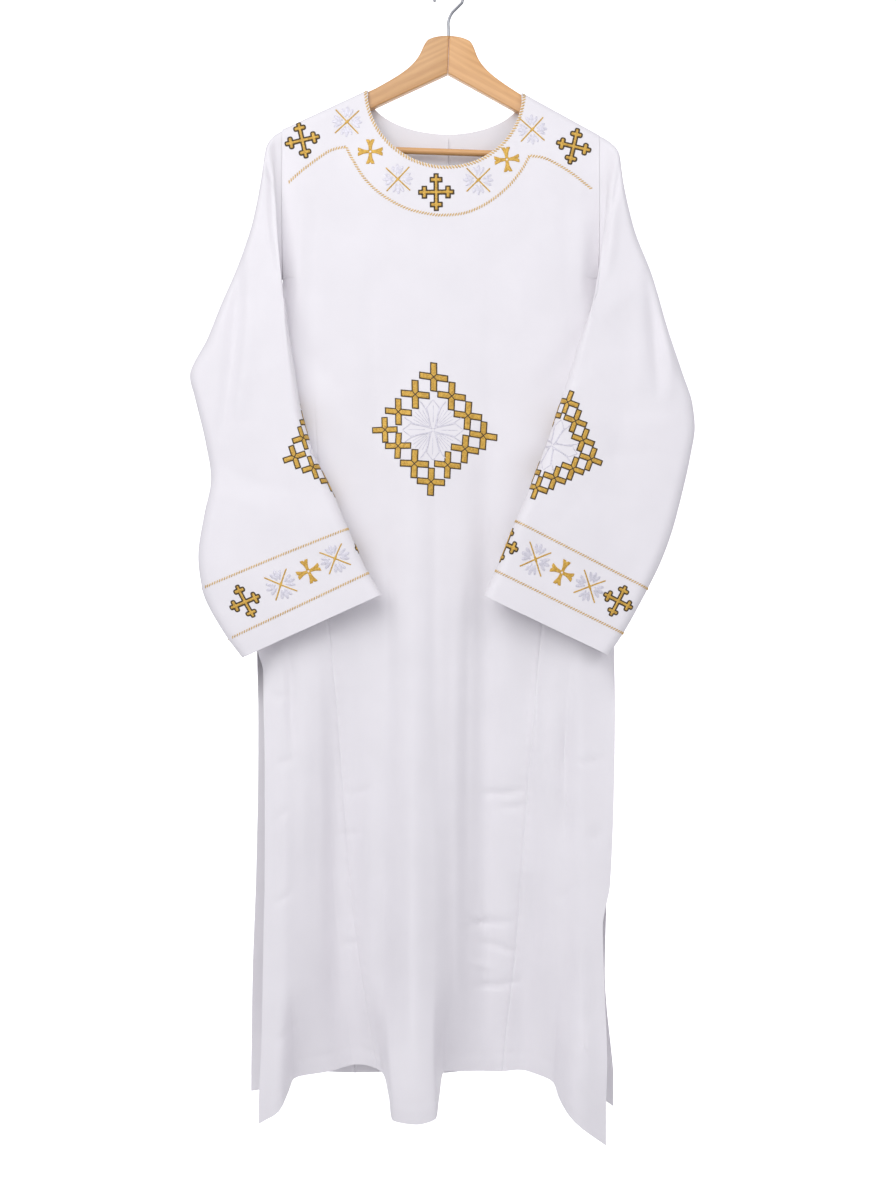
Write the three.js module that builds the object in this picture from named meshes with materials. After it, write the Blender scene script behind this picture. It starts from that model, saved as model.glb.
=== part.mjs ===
import * as THREE from "three";

// Deacon tunic hanging on a wooden hanger, in millimetres.
// +X is the right of the front view, +Y points to the back and +Z is up.
// The origin is the inside top of the hook, where a rail or peg carries it.
// "drop" is a distance below the origin and "across" a distance along X.

// Cloth
const WALL = 1.6;
const SEAM_GAP = 0.3;
const SHOULDER_ROUND = 13;
const SIDE_ROUND = 30;

// Levels
const RIDGE_CENTRE_DROP = 100;
const RIDGE_SLOPE_LEFT = 0.464;
const RIDGE_SLOPE_RIGHT = 0.55;
const ARMHOLE_DROP = 430;
const SLIT_TOP_DROP = 960;
const SLIT_EASE = 100;
const FOLD_START_DROP = 760;
const FOLD_GROWTH = 1.3;
const SIDE_CLOSING_ABOVE = 30;
const SIDE_CLOSING_BELOW = 40;
const HEM_DROP = 1600;

// Neck opening, a round front and a shallow back on one width
const NECK_LEFT = -118;
const NECK_RIGHT = 107;
const NECK_BASE_LEFT_DROP = 154.5;
const NECK_BASE_RIGHT_DROP = 158.9;
const FRONT_NECK_DEPTH = 112.5;
const BACK_NECK_DEPTH = 57;

// Armholes
const ARMHOLE_LEFT = -241;
const ARMHOLE_RIGHT = 218;

// Hanger
const HANGER_HALF_LENGTH = 217;
const HANGER_SLOPE = 0.507;
const HANGER_TILT = 2.0;
const ARM_THICK = 14;
const ARM_BEVEL = 2.4;
const ARM_TOP_UNDER_CLOTH = 4.2;
const ARM_UNDERSIDE_DROP = 131.6;
const HEAD_TOP_DROP = 77;
const LUG_LENGTH = 22;
const LUG_FOOT_DROP = 254;
const BAR_DROP = 244.3;
const BAR_RADIUS = 4.75;
const WIRE_RADIUS = 1.9;
const HOOK_RADIUS = 21;
const HOOK_SHANK_TOP_DROP = 54;
const HOOK_END_ANGLE = 202;

// How far the cloth swells out from the hanger's plane, by distance under the shoulder ridge
const swell = [
  { below: 0, front: 0, back: 0 },
  { below: SHOULDER_ROUND, front: 0, back: 0 },
  { below: 120, front: 5, back: 5 },
  { below: 330, front: 9, back: 7 },
  { below: 800, front: 13, back: 9 },
  { below: 1500, front: 20, back: 16 },
];

// Side edges and gore seams of the front and of the back
const frontLines = [
  { drop: ARMHOLE_DROP, left: ARMHOLE_LEFT, leftSeam: -205, rightSeam: 178, right: ARMHOLE_RIGHT },
  { drop: 927, left: -277, leftSeam: -173, rightSeam: 135, right: 240 },
  { drop: 960, left: -279, leftSeam: -170, rightSeam: 132, right: 241 },
  { drop: 1000, left: -268, leftSeam: -166, rightSeam: 128, right: 240 },
  { drop: 1145, left: -263, leftSeam: -155, rightSeam: 116, right: 237 },
  { drop: 1300, left: -262, leftSeam: -144, rightSeam: 105, right: 230 },
  { drop: 1360, left: -263, leftSeam: -138, rightSeam: 101, right: 219 },
  { drop: 1446, left: -264, leftSeam: -125, rightSeam: 93, right: 221 },
  { drop: 1532, left: -265, leftSeam: -111, rightSeam: 83, right: 223 },
  { drop: 1600, left: -268, leftSeam: -100, rightSeam: 78, right: 221 },
];
const backLines = [
  {
    drop: ARMHOLE_DROP, left: ARMHOLE_LEFT, leftSeam: -205,
    centreSeam: 0, rightSeam: 178, right: ARMHOLE_RIGHT,
  },
  { drop: 960, left: -279, leftSeam: -172, centreSeam: 0, rightSeam: 134, right: 241 },
  { drop: 1145, left: -281, leftSeam: -160, centreSeam: -2, rightSeam: 124, right: 240 },
  { drop: 1300, left: -285, leftSeam: -152, centreSeam: -5, rightSeam: 116, right: 236 },
  { drop: 1446, left: -291, leftSeam: -145, centreSeam: -8, rightSeam: 108, right: 233 },
  { drop: 1600, left: -294, leftSeam: -138, centreSeam: -12, rightSeam: 100, right: 246 },
];

// The hem seen from below. "out" is the distance from the hanger's plane.
const frontHem = [
  { across: -268, out: 70, drop: 1634 },
  { across: -238, out: 75, drop: 1614 },
  { across: -227, out: 50, drop: 1593 },
  { across: -224, out: 16, drop: 1586 },
  { across: -168, out: 2, drop: 1579 },
  { across: -117, out: -10, drop: 1567 },
  { across: -93, out: 6, drop: 1580 },
  { across: -85, out: 60, drop: 1596 },
  { across: -78, out: 110, drop: 1615 },
  { across: -44, out: 120, drop: 1618 },
  { across: -17, out: 110, drop: 1612 },
  { across: -13, out: 60, drop: 1599 },
  { across: -7, out: 2, drop: 1580 },
  { across: 56, out: -8, drop: 1583 },
  { across: 102, out: 0, drop: 1581 },
  { across: 150, out: 20, drop: 1590 },
  { across: 156, out: 50, drop: 1602 },
  { across: 170, out: 80, drop: 1620 },
  { across: 195, out: 85, drop: 1641 },
  { across: 221, out: 80, drop: 1661 },
];
const backHem = [
  { across: -294, out: 35, drop: 1626 },
  { across: -262, out: 62, drop: 1622 },
  { across: -225, out: 80, drop: 1612 },
  { across: -190, out: 58, drop: 1598 },
  { across: -150, out: 38, drop: 1593 },
  { across: -105, out: 44, drop: 1594 },
  { across: -60, out: 76, drop: 1606 },
  { across: -15, out: 98, drop: 1612 },
  { across: 25, out: 90, drop: 1606 },
  { across: 60, out: 52, drop: 1587 },
  { across: 95, out: 36, drop: 1583 },
  { across: 135, out: 42, drop: 1588 },
  { across: 170, out: 72, drop: 1606 },
  { across: 200, out: 88, drop: 1622 },
  { across: 228, out: 68, drop: 1640 },
  { across: 246, out: 40, drop: 1650 },
];

// Smaller lengthwise folds. A positive depth is a trough, a negative one a ridge.
const frontFolds = [
  { top: 930, bottom: 1290, acrossTop: -217, acrossBottom: -226, width: 11, depth: 7 },
  { top: 940, bottom: 1330, acrossTop: -199, acrossBottom: -205, width: 12, depth: -6 },
  { top: 1000, bottom: 1330, acrossTop: 176, acrossBottom: 168, width: 12, depth: 8 },
  { top: 960, bottom: 1400, acrossTop: 148, acrossBottom: 140, width: 13, depth: -6 },
  { top: 620, bottom: 1100, acrossTop: 36, acrossBottom: 30, width: 16, depth: 5 },
  { top: 560, bottom: 1150, acrossTop: -52, acrossBottom: -58, width: 26, depth: -6 },
];
const backFolds = [
  { top: 330, bottom: 1000, acrossTop: -110, acrossBottom: -150, width: 18, depth: 5 },
  { top: 330, bottom: 1000, acrossTop: 95, acrossBottom: 118, width: 18, depth: 5 },
  { top: 480, bottom: 1250, acrossTop: -40, acrossBottom: -62, width: 22, depth: -5 },
  { top: 480, bottom: 1250, acrossTop: 46, acrossBottom: 52, width: 22, depth: -5 },
];

// Sleeve sections from the armhole to the cuff: where the outer and the inner edge lie,
// how far each stands out in front of the hanger's plane, half the sleeve's depth there,
// and how far the front side laps over towards the body
const sleeveColumns = [
  "outerX", "outerDrop", "innerX", "innerDrop", "outerOut", "innerOut", "half", "lap",
];
const leftSleeve = namedRows(sleeveColumns, [
  [-241.3, 213.8, -241.3, 430, 0, 0, 13, 0],
  [-250, 219.5, -247, 443, 2, 13, 13, 0],
  [-263, 238, -243, 456, 10, 31, 14, 7],
  [-271, 292, -233, 478, 16, 41, 16, 5],
  [-282, 350, -229, 508, 20, 43, 17, 2],
  [-303, 415, -223, 545, 24, 44, 18, 0],
  [-327, 472, -216, 590, 27, 45, 18, 0],
  [-346, 520, -209, 630, 29, 45, 18, 0],
  [-371, 573, -199, 665, 30, 46, 18, 0],
  [-364, 605, -191, 688, 31, 46, 18, 0],
  [-348.5, 669, -180, 712, 32, 47, 18, 0],
  [-340.5, 722, -170, 732, 33, 48, 18, 0],
  [-350, 774, -160, 753, 35, 50, 18, 0],
  [-358, 831, -150, 778, 37, 53, 17, 0],
  [-352, 880, -140, 800, 40, 55, 16, 0],
  [-321, 941, -117, 851, 43, 58, 15, 0],
  [-294, 977.5, -95, 887.5, 45, 60, 14, 0],
]);
const rightSleeve = namedRows(sleeveColumns, [
  [218.3, 220.8, 218.3, 430, 0, 0, 13, 0],
  [229, 227.5, 224, 443, 2, 13, 13, 0],
  [246, 248, 220, 456, 10, 31, 14, 9],
  [252, 292, 206, 476, 16, 42, 15, 7],
  [267, 360, 196, 500, 20, 44, 17, 3],
  [293, 430, 187, 525, 24, 45, 18, 0],
  [315, 507, 177, 557, 27, 46, 18, 0],
  [334, 565, 167, 590, 29, 46, 18, 0],
  [350, 615, 157, 620, 30, 46, 18, 0],
  [353, 648, 148, 648, 31, 47, 18, 0],
  [346, 692, 138, 676, 32, 47, 18, 0],
  [334, 745, 126, 708, 33, 48, 18, 0],
  [319, 800, 112, 744, 35, 50, 18, 0],
  [303, 842, 103, 764, 37, 52, 17, 0],
  [284, 880, 94, 785, 40, 54, 16, 0],
  [252, 938, 68, 850, 43, 57, 15, 0],
  [228, 974, 49.5, 889, 45, 59, 14, 0],
]);

// Where the grid lines run. Columns are fractions of the width between two neighbouring lines.
const goreColumns = [0, 0.02, 0.06, 0.13, 0.25, 0.4, 0.55, 0.7, 0.85, 1];
const frontColumns = [
  0, 0.06, 0.12, 0.175, 0.227, 0.2272, 0.2275, 0.229, 0.234, 0.25, 0.29, 0.34, 0.39, 0.45,
  0.51, 0.57, 0.63, 0.69, 0.75, 0.79, 0.807, 0.8128, 0.8142, 0.8145, 0.8147, 0.87, 0.93, 1,
];
const backGoreColumns = [0, 0.02, 0.06, 0.13, 0.3, 0.5, 0.75, 1];
const backLeftColumns = [0, 0.14, 0.28, 0.4242, 0.425, 0.4275, 0.436, 0.47, 0.56, 0.7, 0.85, 1];
const backRightColumns = [0, 0.15, 0.3, 0.45, 0.56, 0.59, 0.598, 0.6004, 0.6013, 0.74, 0.87, 1];
const shoulderSteps = [0, 1.6, 6, SHOULDER_ROUND];
const upperRows = 6;
const middleRows = 7;
const lowerRows = 10;
const sleeveFlatSteps = 7;

const clothMaterial = new THREE.MeshStandardMaterial({ color: 0xf2f1f7, roughness: 0.75, metalness: 0 });
const woodMaterial = new THREE.MeshStandardMaterial({ color: 0xd9a36a, roughness: 0.5, metalness: 0 });
const steelMaterial = new THREE.MeshStandardMaterial({ color: 0xb9bcc2, roughness: 0.25, metalness: 1 });

// Table rows with their values under the columns' names.
function namedRows(columns, rows) {
  return rows.map((row) => Object.fromEntries(columns.map((name, index) => [name, row[index]])));
}

function mix(from, to, share) {
  return from + (to - from) * share;
}

function clamp(value, low = 0, high = 1) {
  return Math.min(high, Math.max(low, value));
}

function smoothStep(from, to, value) {
  const share = clamp((value - from) / (to - from));
  return share * share * (3 - 2 * share);
}

// A column of a table, read between its rows on a smooth curve that doesn't overshoot them.
function readTable(rows, key, column, at) {
  const last = rows.length - 1;
  const place = clamp(at, rows[0][key], rows[last][key]);
  let row = 0;
  while (row < last - 1 && place > rows[row + 1][key]) {
    row += 1;
  }
  const rise = (index) => {
    const span = rows[index + 1][key] - rows[index][key];
    return (rows[index + 1][column] - rows[index][column]) / span;
  };
  const slope = (index) => {
    if (index === 0) return rise(0);
    if (index === last) return rise(last - 1);
    const before = rise(index - 1);
    const after = rise(index);
    return before * after <= 0 ? 0 : (2 * before * after) / (before + after);
  };
  const span = rows[row + 1][key] - rows[row][key];
  const t = (place - rows[row][key]) / span;
  const t2 = t * t;
  const t3 = t2 * t;
  return (
    (2 * t3 - 3 * t2 + 1) * rows[row][column] +
    (t3 - 2 * t2 + t) * span * slope(row) +
    (3 * t2 - 2 * t3) * rows[row + 1][column] +
    (t3 - t2) * span * slope(row + 1)
  );
}

// Half the depth of a rounded fold, at a distance from its edge.
function roundedDepth(fromEdge, radius, half = radius) {
  const rest = 1 - clamp(fromEdge / radius);
  return half * Math.sqrt(1 - rest * rest);
}

// The shoulder line that the hanger carries, as a drop.
function ridgeDrop(across) {
  const slope = across < 0 ? RIDGE_SLOPE_LEFT : RIDGE_SLOPE_RIGHT;
  return RIDGE_CENTRE_DROP + slope * Math.abs(across);
}

// Upper edge of the front or back: the shoulder line, or the neck opening between its ends.
function topDrop(across, neckDepth) {
  if (across <= NECK_LEFT || across >= NECK_RIGHT) return ridgeDrop(across);
  const share = (across - NECK_LEFT) / (NECK_RIGHT - NECK_LEFT);
  const round = Math.sqrt(1 - (2 * share - 1) ** 2);
  return mix(NECK_BASE_LEFT_DROP, NECK_BASE_RIGHT_DROP, share) + neckDepth * round;
}

// Hem rows with the length of cloth up to each one, as a share of the whole hem.
function hemWithShares(hem) {
  let length = 0;
  const lengths = hem.map((point, index) => {
    if (index > 0) {
      const before = hem[index - 1];
      length += Math.hypot(point.across - before.across, point.out - before.out);
    }
    return length;
  });
  const rows = hem.map((point, index) => ({ ...point, share: lengths[index] / length }));
  return Object.assign(rows, { clothLength: length });
}

// Depth added by the lengthwise folds at one place.
function foldDepth(folds, across, drop) {
  return folds.reduce((sum, fold) => {
    const along = (drop - fold.top) / (fold.bottom - fold.top);
    if (along <= 0 || along >= 1) return sum;
    const away = (across - mix(fold.acrossTop, fold.acrossBottom, along)) / fold.width;
    return sum + fold.depth * Math.exp(-away * away) * Math.sin(Math.PI * along) ** 0.7;
  }, 0);
}

// Rows of one side, each as a zone and a share of the way down that zone.
function bodyRows() {
  const typicalHeight = ARMHOLE_DROP - ridgeDrop(ARMHOLE_LEFT);
  const firstShares = shoulderSteps.map((step) => step / typicalHeight);
  const lastShares = firstShares.map((share) => 1 - share).reverse();
  const from = firstShares[firstShares.length - 1];
  const to = lastShares[0];
  const rows = firstShares.map((share) => ({ zone: 0, share }));
  for (let step = 1; step < upperRows; step += 1) {
    rows.push({ zone: 0, share: mix(from, to, step / upperRows) });
  }
  lastShares.forEach((share) => rows.push({ zone: 0, share }));
  const gapShare = SEAM_GAP / (SLIT_TOP_DROP - ARMHOLE_DROP);
  rows.push({ zone: 1, share: gapShare });
  for (let step = 1; step <= middleRows; step += 1) {
    rows.push({ zone: 1, share: step / middleRows });
  }
  for (let step = 1; step <= lowerRows; step += 1) {
    rows.push({ zone: 2, share: step / lowerRows });
  }
  return rows;
}

// One side of the body as a grid of points, with the moved-in points of the wall's inside.
function bodySide({ lines, lineNames, columns, hem, folds, neckDepth, face }) {
  const outward = face === "front" ? -1 : 1;
  const hemRows = hemWithShares(hem);
  const lastLine = lines[lines.length - 1];
  const hemShares = lineNames.map((name) => {
    const place = clamp(lastLine[name], hem[0].across, hem[hem.length - 1].across);
    return readTable(hemRows, "across", "share", place);
  });

  const grid = [];
  const panelStarts = [];
  const tracks = [];
  columns.forEach((shares, panel) => {
    panelStarts.push(tracks.length);
    shares.forEach((share, index) => {
      const atStart = index === 0 && panel > 0;
      const atEnd = index === shares.length - 1 && panel < columns.length - 1;
      tracks.push({ panel, share, seam: Number(atStart) - Number(atEnd) });
    });
  });

  // Place across the body of one column, which keeps half the seam gap to a seam beside it
  const acrossAt = (track, drop, spread) => {
    const from = readTable(lines, "drop", lineNames[track.panel], drop);
    const to = readTable(lines, "drop", lineNames[track.panel + 1], drop);
    const [hemFromShare, hemToShare] = hemShares.slice(track.panel, track.panel + 2);
    const clothWidth = mix(to - from, hemRows.clothLength * (hemToShare - hemFromShare), spread);
    const share = track.share + (track.seam * SEAM_GAP) / 2 / clothWidth;
    const hemFrom = readTable(hemRows, "share", "across", hemFromShare);
    const hemTo = readTable(hemRows, "share", "across", hemToShare);
    const hemShare = mix(hemFromShare, hemToShare, share);
    const hemPlace = readTable(hemRows, "share", "across", hemShare);
    const gathered = (hemPlace - hemFrom) / (hemTo - hemFrom);
    return { across: mix(from, to, mix(share, gathered, spread)), hemShare };
  };

  bodyRows().forEach(({ zone, share }) => {
    const row = tracks.map((track) => {
      const foot = acrossAt(track, HEM_DROP, 1);
      const hemDrop = readTable(hemRows, "share", "drop", foot.hemShare);
      const top = acrossAt(track, ARMHOLE_DROP, 0);
      const levels = [topDrop(top.across, neckDepth), ARMHOLE_DROP, SLIT_TOP_DROP, hemDrop];
      const drop = mix(levels[zone], levels[zone + 1], share);

      const flare = clamp((drop - FOLD_START_DROP) / (HEM_DROP - FOLD_START_DROP)) ** FOLD_GROWTH;
      const { across, hemShare } = acrossAt(track, drop, flare);
      const left = readTable(lines, "drop", "left", drop);
      const right = readTable(lines, "drop", "right", drop);
      const fromSide = Math.min(across - left, right - across);

      const below = Math.max(0, drop - ridgeDrop(across));
      const open = roundedDepth(below, SHOULDER_ROUND);
      const inside = open + readTable(swell, "below", face, below);
      const armholeEdge = Math.min(open, roundedDepth(ARMHOLE_DROP - drop, SHOULDER_ROUND));
      const edge = Math.max(SEAM_GAP / 2, armholeEdge);
      const sewn = smoothStep(ARMHOLE_DROP - SIDE_CLOSING_ABOVE, ARMHOLE_DROP + SIDE_CLOSING_BELOW, drop);
      const nearSide = clamp(fromSide / SIDE_ROUND);
      const blend = mix(smoothStep(0, 1, nearSide), roundedDepth(nearSide, 1), sewn);
      const closed = mix(edge, inside, blend);
      const slitOpen = smoothStep(SLIT_TOP_DROP, SLIT_TOP_DROP + SLIT_EASE, drop);
      const upper = mix(closed, inside, slitOpen);

      const slitShare = clamp((drop - SLIT_TOP_DROP) / (HEM_DROP - SLIT_TOP_DROP));
      const middleShare = smoothStep(0, 2 * SIDE_ROUND, fromSide);
      const fall = mix(slitShare, flare, middleShare);
      const hemOut = readTable(hemRows, "share", "out", hemShare);
      const free = smoothStep(0, SIDE_ROUND, fromSide);
      const draped = mix(upper, hemOut, fall) - foldDepth(folds, across, drop) * free;
      const out = zone < 2 ? Math.max(SEAM_GAP / 2, draped) : draped;
      return new THREE.Vector3(across, outward * out, -drop);
    });
    grid.push(row);
  });

  const normals = gridNormals(grid, false, new THREE.Vector3(0, outward, 0));
  const armholeRow = bodyRows().filter(({ zone }) => zone === 0).length - 1;
  const slitRow = bodyRows().filter(({ zone }) => zone < 2).length - 1;
  normals.forEach((row) => panelStarts.slice(1).forEach((start) => align(row[start - 1], row[start])));
  normals[armholeRow].forEach((normal, index) => {
    align(normal.setZ(0), normals[armholeRow + 1][index].setZ(0));
  });
  normals[0].forEach((normal, index) => {
    if (Math.abs(grid[0][index].y) < SEAM_GAP) normal.setY(0).normalize();
  });
  normals.forEach((row, index) => {
    [row[0], row[row.length - 1]].forEach((normal, side) => {
      if (index < armholeRow) normal.setX(0).normalize();
      else if (index <= slitRow) normal.set(side === 0 ? -1 : 1, 0, 0);
    });
  });
  return { outer: grid, inner: movedIn(grid, normals), panelStarts, armholeRow };
}

// Directions square to a grid of points, on the side that a guide vector points to.
function gridNormals(grid, closedRows, guide) {
  const lastRow = grid.length - 1;
  return grid.map((row, r) => {
    const count = row.length;
    return row.map((point, c) => {
      const next = closedRows ? row[(c + 1) % count] : row[Math.min(c + 1, count - 1)];
      const before = closedRows ? row[(c - 1 + count) % count] : row[Math.max(c - 1, 0)];
      const alongRow = next.clone().sub(before);
      const downRows = grid[Math.min(r + 1, lastRow)][c].clone().sub(grid[Math.max(r - 1, 0)][c]);
      const normal = alongRow.cross(downRows).normalize();
      return guide && normal.dot(guide) < 0 ? normal.negate() : normal;
    });
  });
}

// Gives both sides of a seam one direction, so that the walls stay apart through their thickness.
function align(normal, neighbour) {
  normal.add(neighbour).normalize();
  neighbour.copy(normal);
}

function movedIn(grid, normals) {
  return grid.map((row, r) =>
    row.map((point, c) => point.clone().addScaledVector(normals[r][c], -WALL)),
  );
}

// A closed wall from the chosen cells of an outer grid, its inside and the rims between them.
function clothWall(name, outer, inner, hasCell, closedRows = false) {
  const positions = [];
  const numbers = new Map();
  const vertex = (layer, r, c) => {
    const key = `${layer}:${r}:${c}`;
    if (!numbers.has(key)) {
      const point = (layer === 0 ? outer : inner)[r][c];
      numbers.set(key, positions.length / 3);
      positions.push(point.x, point.y, point.z);
    }
    return numbers.get(key);
  };

  const count = outer[0].length;
  const lastColumn = closedRows ? count : count - 1;
  const cells = [];
  for (let r = 0; r < outer.length - 1; r += 1) {
    for (let c = 0; c < lastColumn; c += 1) {
      if (hasCell(r, c)) cells.push([r, c]);
    }
  }
  const triangles = [];
  const edges = new Map();
  const addEdge = (from, to) => edges.set(`${from.join()}>${to.join()}`, [from, to]);
  cells.forEach(([r, c]) => {
    const d = (c + 1) % count;
    const loop = [[r, c], [r + 1, c], [r + 1, d], [r, d]];
    loop.forEach((corner, index) => addEdge(corner, loop[(index + 1) % 4]));
    [[0, 1, 2], [0, 2, 3]].forEach((corners) => {
      triangles.push(corners.map((corner) => vertex(0, ...loop[corner])));
      triangles.push([...corners].reverse().map((corner) => vertex(1, ...loop[corner])));
    });
  });
  edges.forEach(([from, to]) => {
    if (edges.has(`${to.join()}>${from.join()}`)) return;
    triangles.push([vertex(0, ...to), vertex(0, ...from), vertex(1, ...from)]);
    triangles.push([vertex(0, ...to), vertex(1, ...from), vertex(1, ...to)]);
  });
  return solid(name, positions, triangles, clothMaterial);
}

// A mesh whose faces all point out.
function solid(name, positions, triangles, material) {
  const corner = (index) => new THREE.Vector3().fromArray(positions, index * 3);
  const volume = triangles.reduce(
    (sum, [a, b, c]) => sum + corner(a).dot(corner(b).cross(corner(c))) / 6,
    0,
  );
  const index = volume < 0 ? triangles.map(([a, b, c]) => [a, c, b]) : triangles;
  const geometry = new THREE.BufferGeometry();
  geometry.setAttribute("position", new THREE.Float32BufferAttribute(positions, 3));
  geometry.setIndex(index.flat());
  geometry.computeVertexNormals();
  return namedMesh(name, geometry, material);
}

function namedMesh(name, geometry, material) {
  const mesh = new THREE.Mesh(geometry, material);
  mesh.name = name;
  return mesh;
}

// The front: a panel that widens to the full width above the gores, and the two gores.
function frontPieces() {
  const side = bodySide({
    lines: frontLines,
    lineNames: ["left", "leftSeam", "rightSeam", "right"],
    columns: [goreColumns, frontColumns, goreColumns.map((share) => 1 - share).reverse()],
    hem: frontHem,
    folds: frontFolds,
    neckDepth: FRONT_NECK_DEPTH,
    face: "front",
  });
  const [, panel, rightGore] = side.panelStarts;
  const underArm = side.armholeRow + 1;
  const wall = (name, hasCell) => clothWall(name, side.outer, side.inner, hasCell);
  return [
    wall("front_panel", (r, c) => r < side.armholeRow || (c >= panel && c < rightGore - 1)),
    wall("front_gore_left", (r, c) => r >= underArm && c < panel - 1),
    wall("front_gore_right", (r, c) => r >= underArm && c >= rightGore),
  ];
}

// The back: two halves with a seam down the centre, and the two gores.
function backPieces() {
  const side = bodySide({
    lines: backLines,
    lineNames: ["left", "leftSeam", "centreSeam", "rightSeam", "right"],
    columns: [
      backGoreColumns,
      backLeftColumns,
      backRightColumns,
      backGoreColumns.map((share) => 1 - share).reverse(),
    ],
    hem: backHem,
    folds: backFolds,
    neckDepth: BACK_NECK_DEPTH,
    face: "back",
  });
  const [, leftHalf, rightHalf, rightGore] = side.panelStarts;
  const aboveGores = side.armholeRow;
  const underArm = side.armholeRow + 1;
  const wall = (name, hasCell) => clothWall(name, side.outer, side.inner, hasCell);
  return [
    wall("back_left", (r, c) => c < rightHalf - 1 && (r < aboveGores || c >= leftHalf)),
    wall("back_right", (r, c) => c >= rightHalf && (r < aboveGores || c < rightGore - 1)),
    wall("back_gore_left", (r, c) => r >= underArm && c < leftHalf - 1),
    wall("back_gore_right", (r, c) => r >= underArm && c >= rightGore),
  ];
}

// A sleeve: flattened rings that turn down from the armhole and run to the open cuff.
function sleeve(name, sections) {
  const side = Math.sign(sections[0].outerX);
  const grid = sections.map((section) => {
    const outer = new THREE.Vector3(section.outerX, -section.outerOut, -section.outerDrop);
    const inner = new THREE.Vector3(section.innerX, -section.innerOut, -section.innerDrop);
    const length = outer.distanceTo(inner);
    const round = section.half;
    const edgeSteps = [0, 0.12 * round, 0.45 * round, round];
    const places = [...edgeSteps];
    for (let step = 1; step < sleeveFlatSteps; step += 1) {
      places.push(mix(round, length - round, step / sleeveFlatSteps));
    }
    places.push(...edgeSteps.map((step) => length - step).reverse());
    const point = (place, facing) => {
      const share = place / length;
      const fromEdge = Math.min(place, length - place);
      const lap = facing < 0 ? section.lap * Math.sin(Math.PI * share) : 0;
      const depth = roundedDepth(fromEdge, round, section.half);
      return outer.clone().lerp(inner, share).add(new THREE.Vector3(-side * lap, facing * depth, 0));
    };
    const front = places.map((place) => point(place, -1));
    const back = places.slice(1, -1).reverse().map((place) => point(place, 1));
    return [...front, ...back];
  });
  const normals = gridNormals(grid, true);
  const facing = normals[0][5].y * -1;
  normals.flat().forEach((normal) => normal.multiplyScalar(Math.sign(facing)));
  normals[0].forEach((normal) => normal.setX(0).normalize());
  return clothWall(name, grid, movedIn(grid, normals), () => true, true);
}

// One arm of the hanger, as seen from the front on the right side.
function armOutline() {
  const topLine = (x) => -(RIDGE_CENTRE_DROP + ARM_TOP_UNDER_CLOTH + HANGER_SLOPE * x);
  const underside = (x) => -(ARM_UNDERSIDE_DROP + HANGER_SLOPE * x);
  const lugFace = HANGER_HALF_LENGTH - LUG_LENGTH;
  const gap = SEAM_GAP / 2;
  const outline = new THREE.Shape();
  outline.moveTo(gap, -HEAD_TOP_DROP);
  outline.quadraticCurveTo(20, -HEAD_TOP_DROP, 31, -HEAD_TOP_DROP - 7);
  outline.bezierCurveTo(38, -92, 38, -100, 45, -111);
  outline.bezierCurveTo(56, -128, 76, topLine(76) + 2.5, 104, topLine(104));
  outline.lineTo(HANGER_HALF_LENGTH - 9, topLine(HANGER_HALF_LENGTH - 9));
  outline.quadraticCurveTo(
    HANGER_HALF_LENGTH, topLine(HANGER_HALF_LENGTH), HANGER_HALF_LENGTH, topLine(HANGER_HALF_LENGTH) - 9,
  );
  outline.lineTo(HANGER_HALF_LENGTH - 2, -LUG_FOOT_DROP + 5);
  outline.quadraticCurveTo(HANGER_HALF_LENGTH - 4, -LUG_FOOT_DROP, HANGER_HALF_LENGTH - 10, -LUG_FOOT_DROP);
  outline.lineTo(lugFace, -LUG_FOOT_DROP);
  outline.lineTo(lugFace, underside(lugFace));
  outline.lineTo(gap, underside(0));
  return outline;
}

function hangerArm(name, mirror) {
  const geometry = new THREE.ExtrudeGeometry(armOutline(), {
    depth: ARM_THICK - 2 * ARM_BEVEL,
    curveSegments: 5,
    bevelEnabled: true,
    bevelThickness: ARM_BEVEL,
    bevelSize: ARM_BEVEL,
    bevelOffset: -ARM_BEVEL,
    bevelSegments: 2,
  });
  geometry.translate(0, 0, -(ARM_THICK - 2 * ARM_BEVEL) / 2);
  geometry.rotateX(Math.PI / 2);
  const mesh = namedMesh(name, geometry, woodMaterial);
  if (mirror) mesh.rotation.z = Math.PI;
  return mesh;
}

function hangerBar() {
  const length = 2 * (HANGER_HALF_LENGTH - LUG_LENGTH - SEAM_GAP);
  const geometry = new THREE.CylinderGeometry(BAR_RADIUS, BAR_RADIUS, length, 16);
  geometry.rotateZ(Math.PI / 2);
  geometry.translate(0, 0, -BAR_DROP);
  return namedMesh("hanger_bar", geometry, woodMaterial);
}

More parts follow.
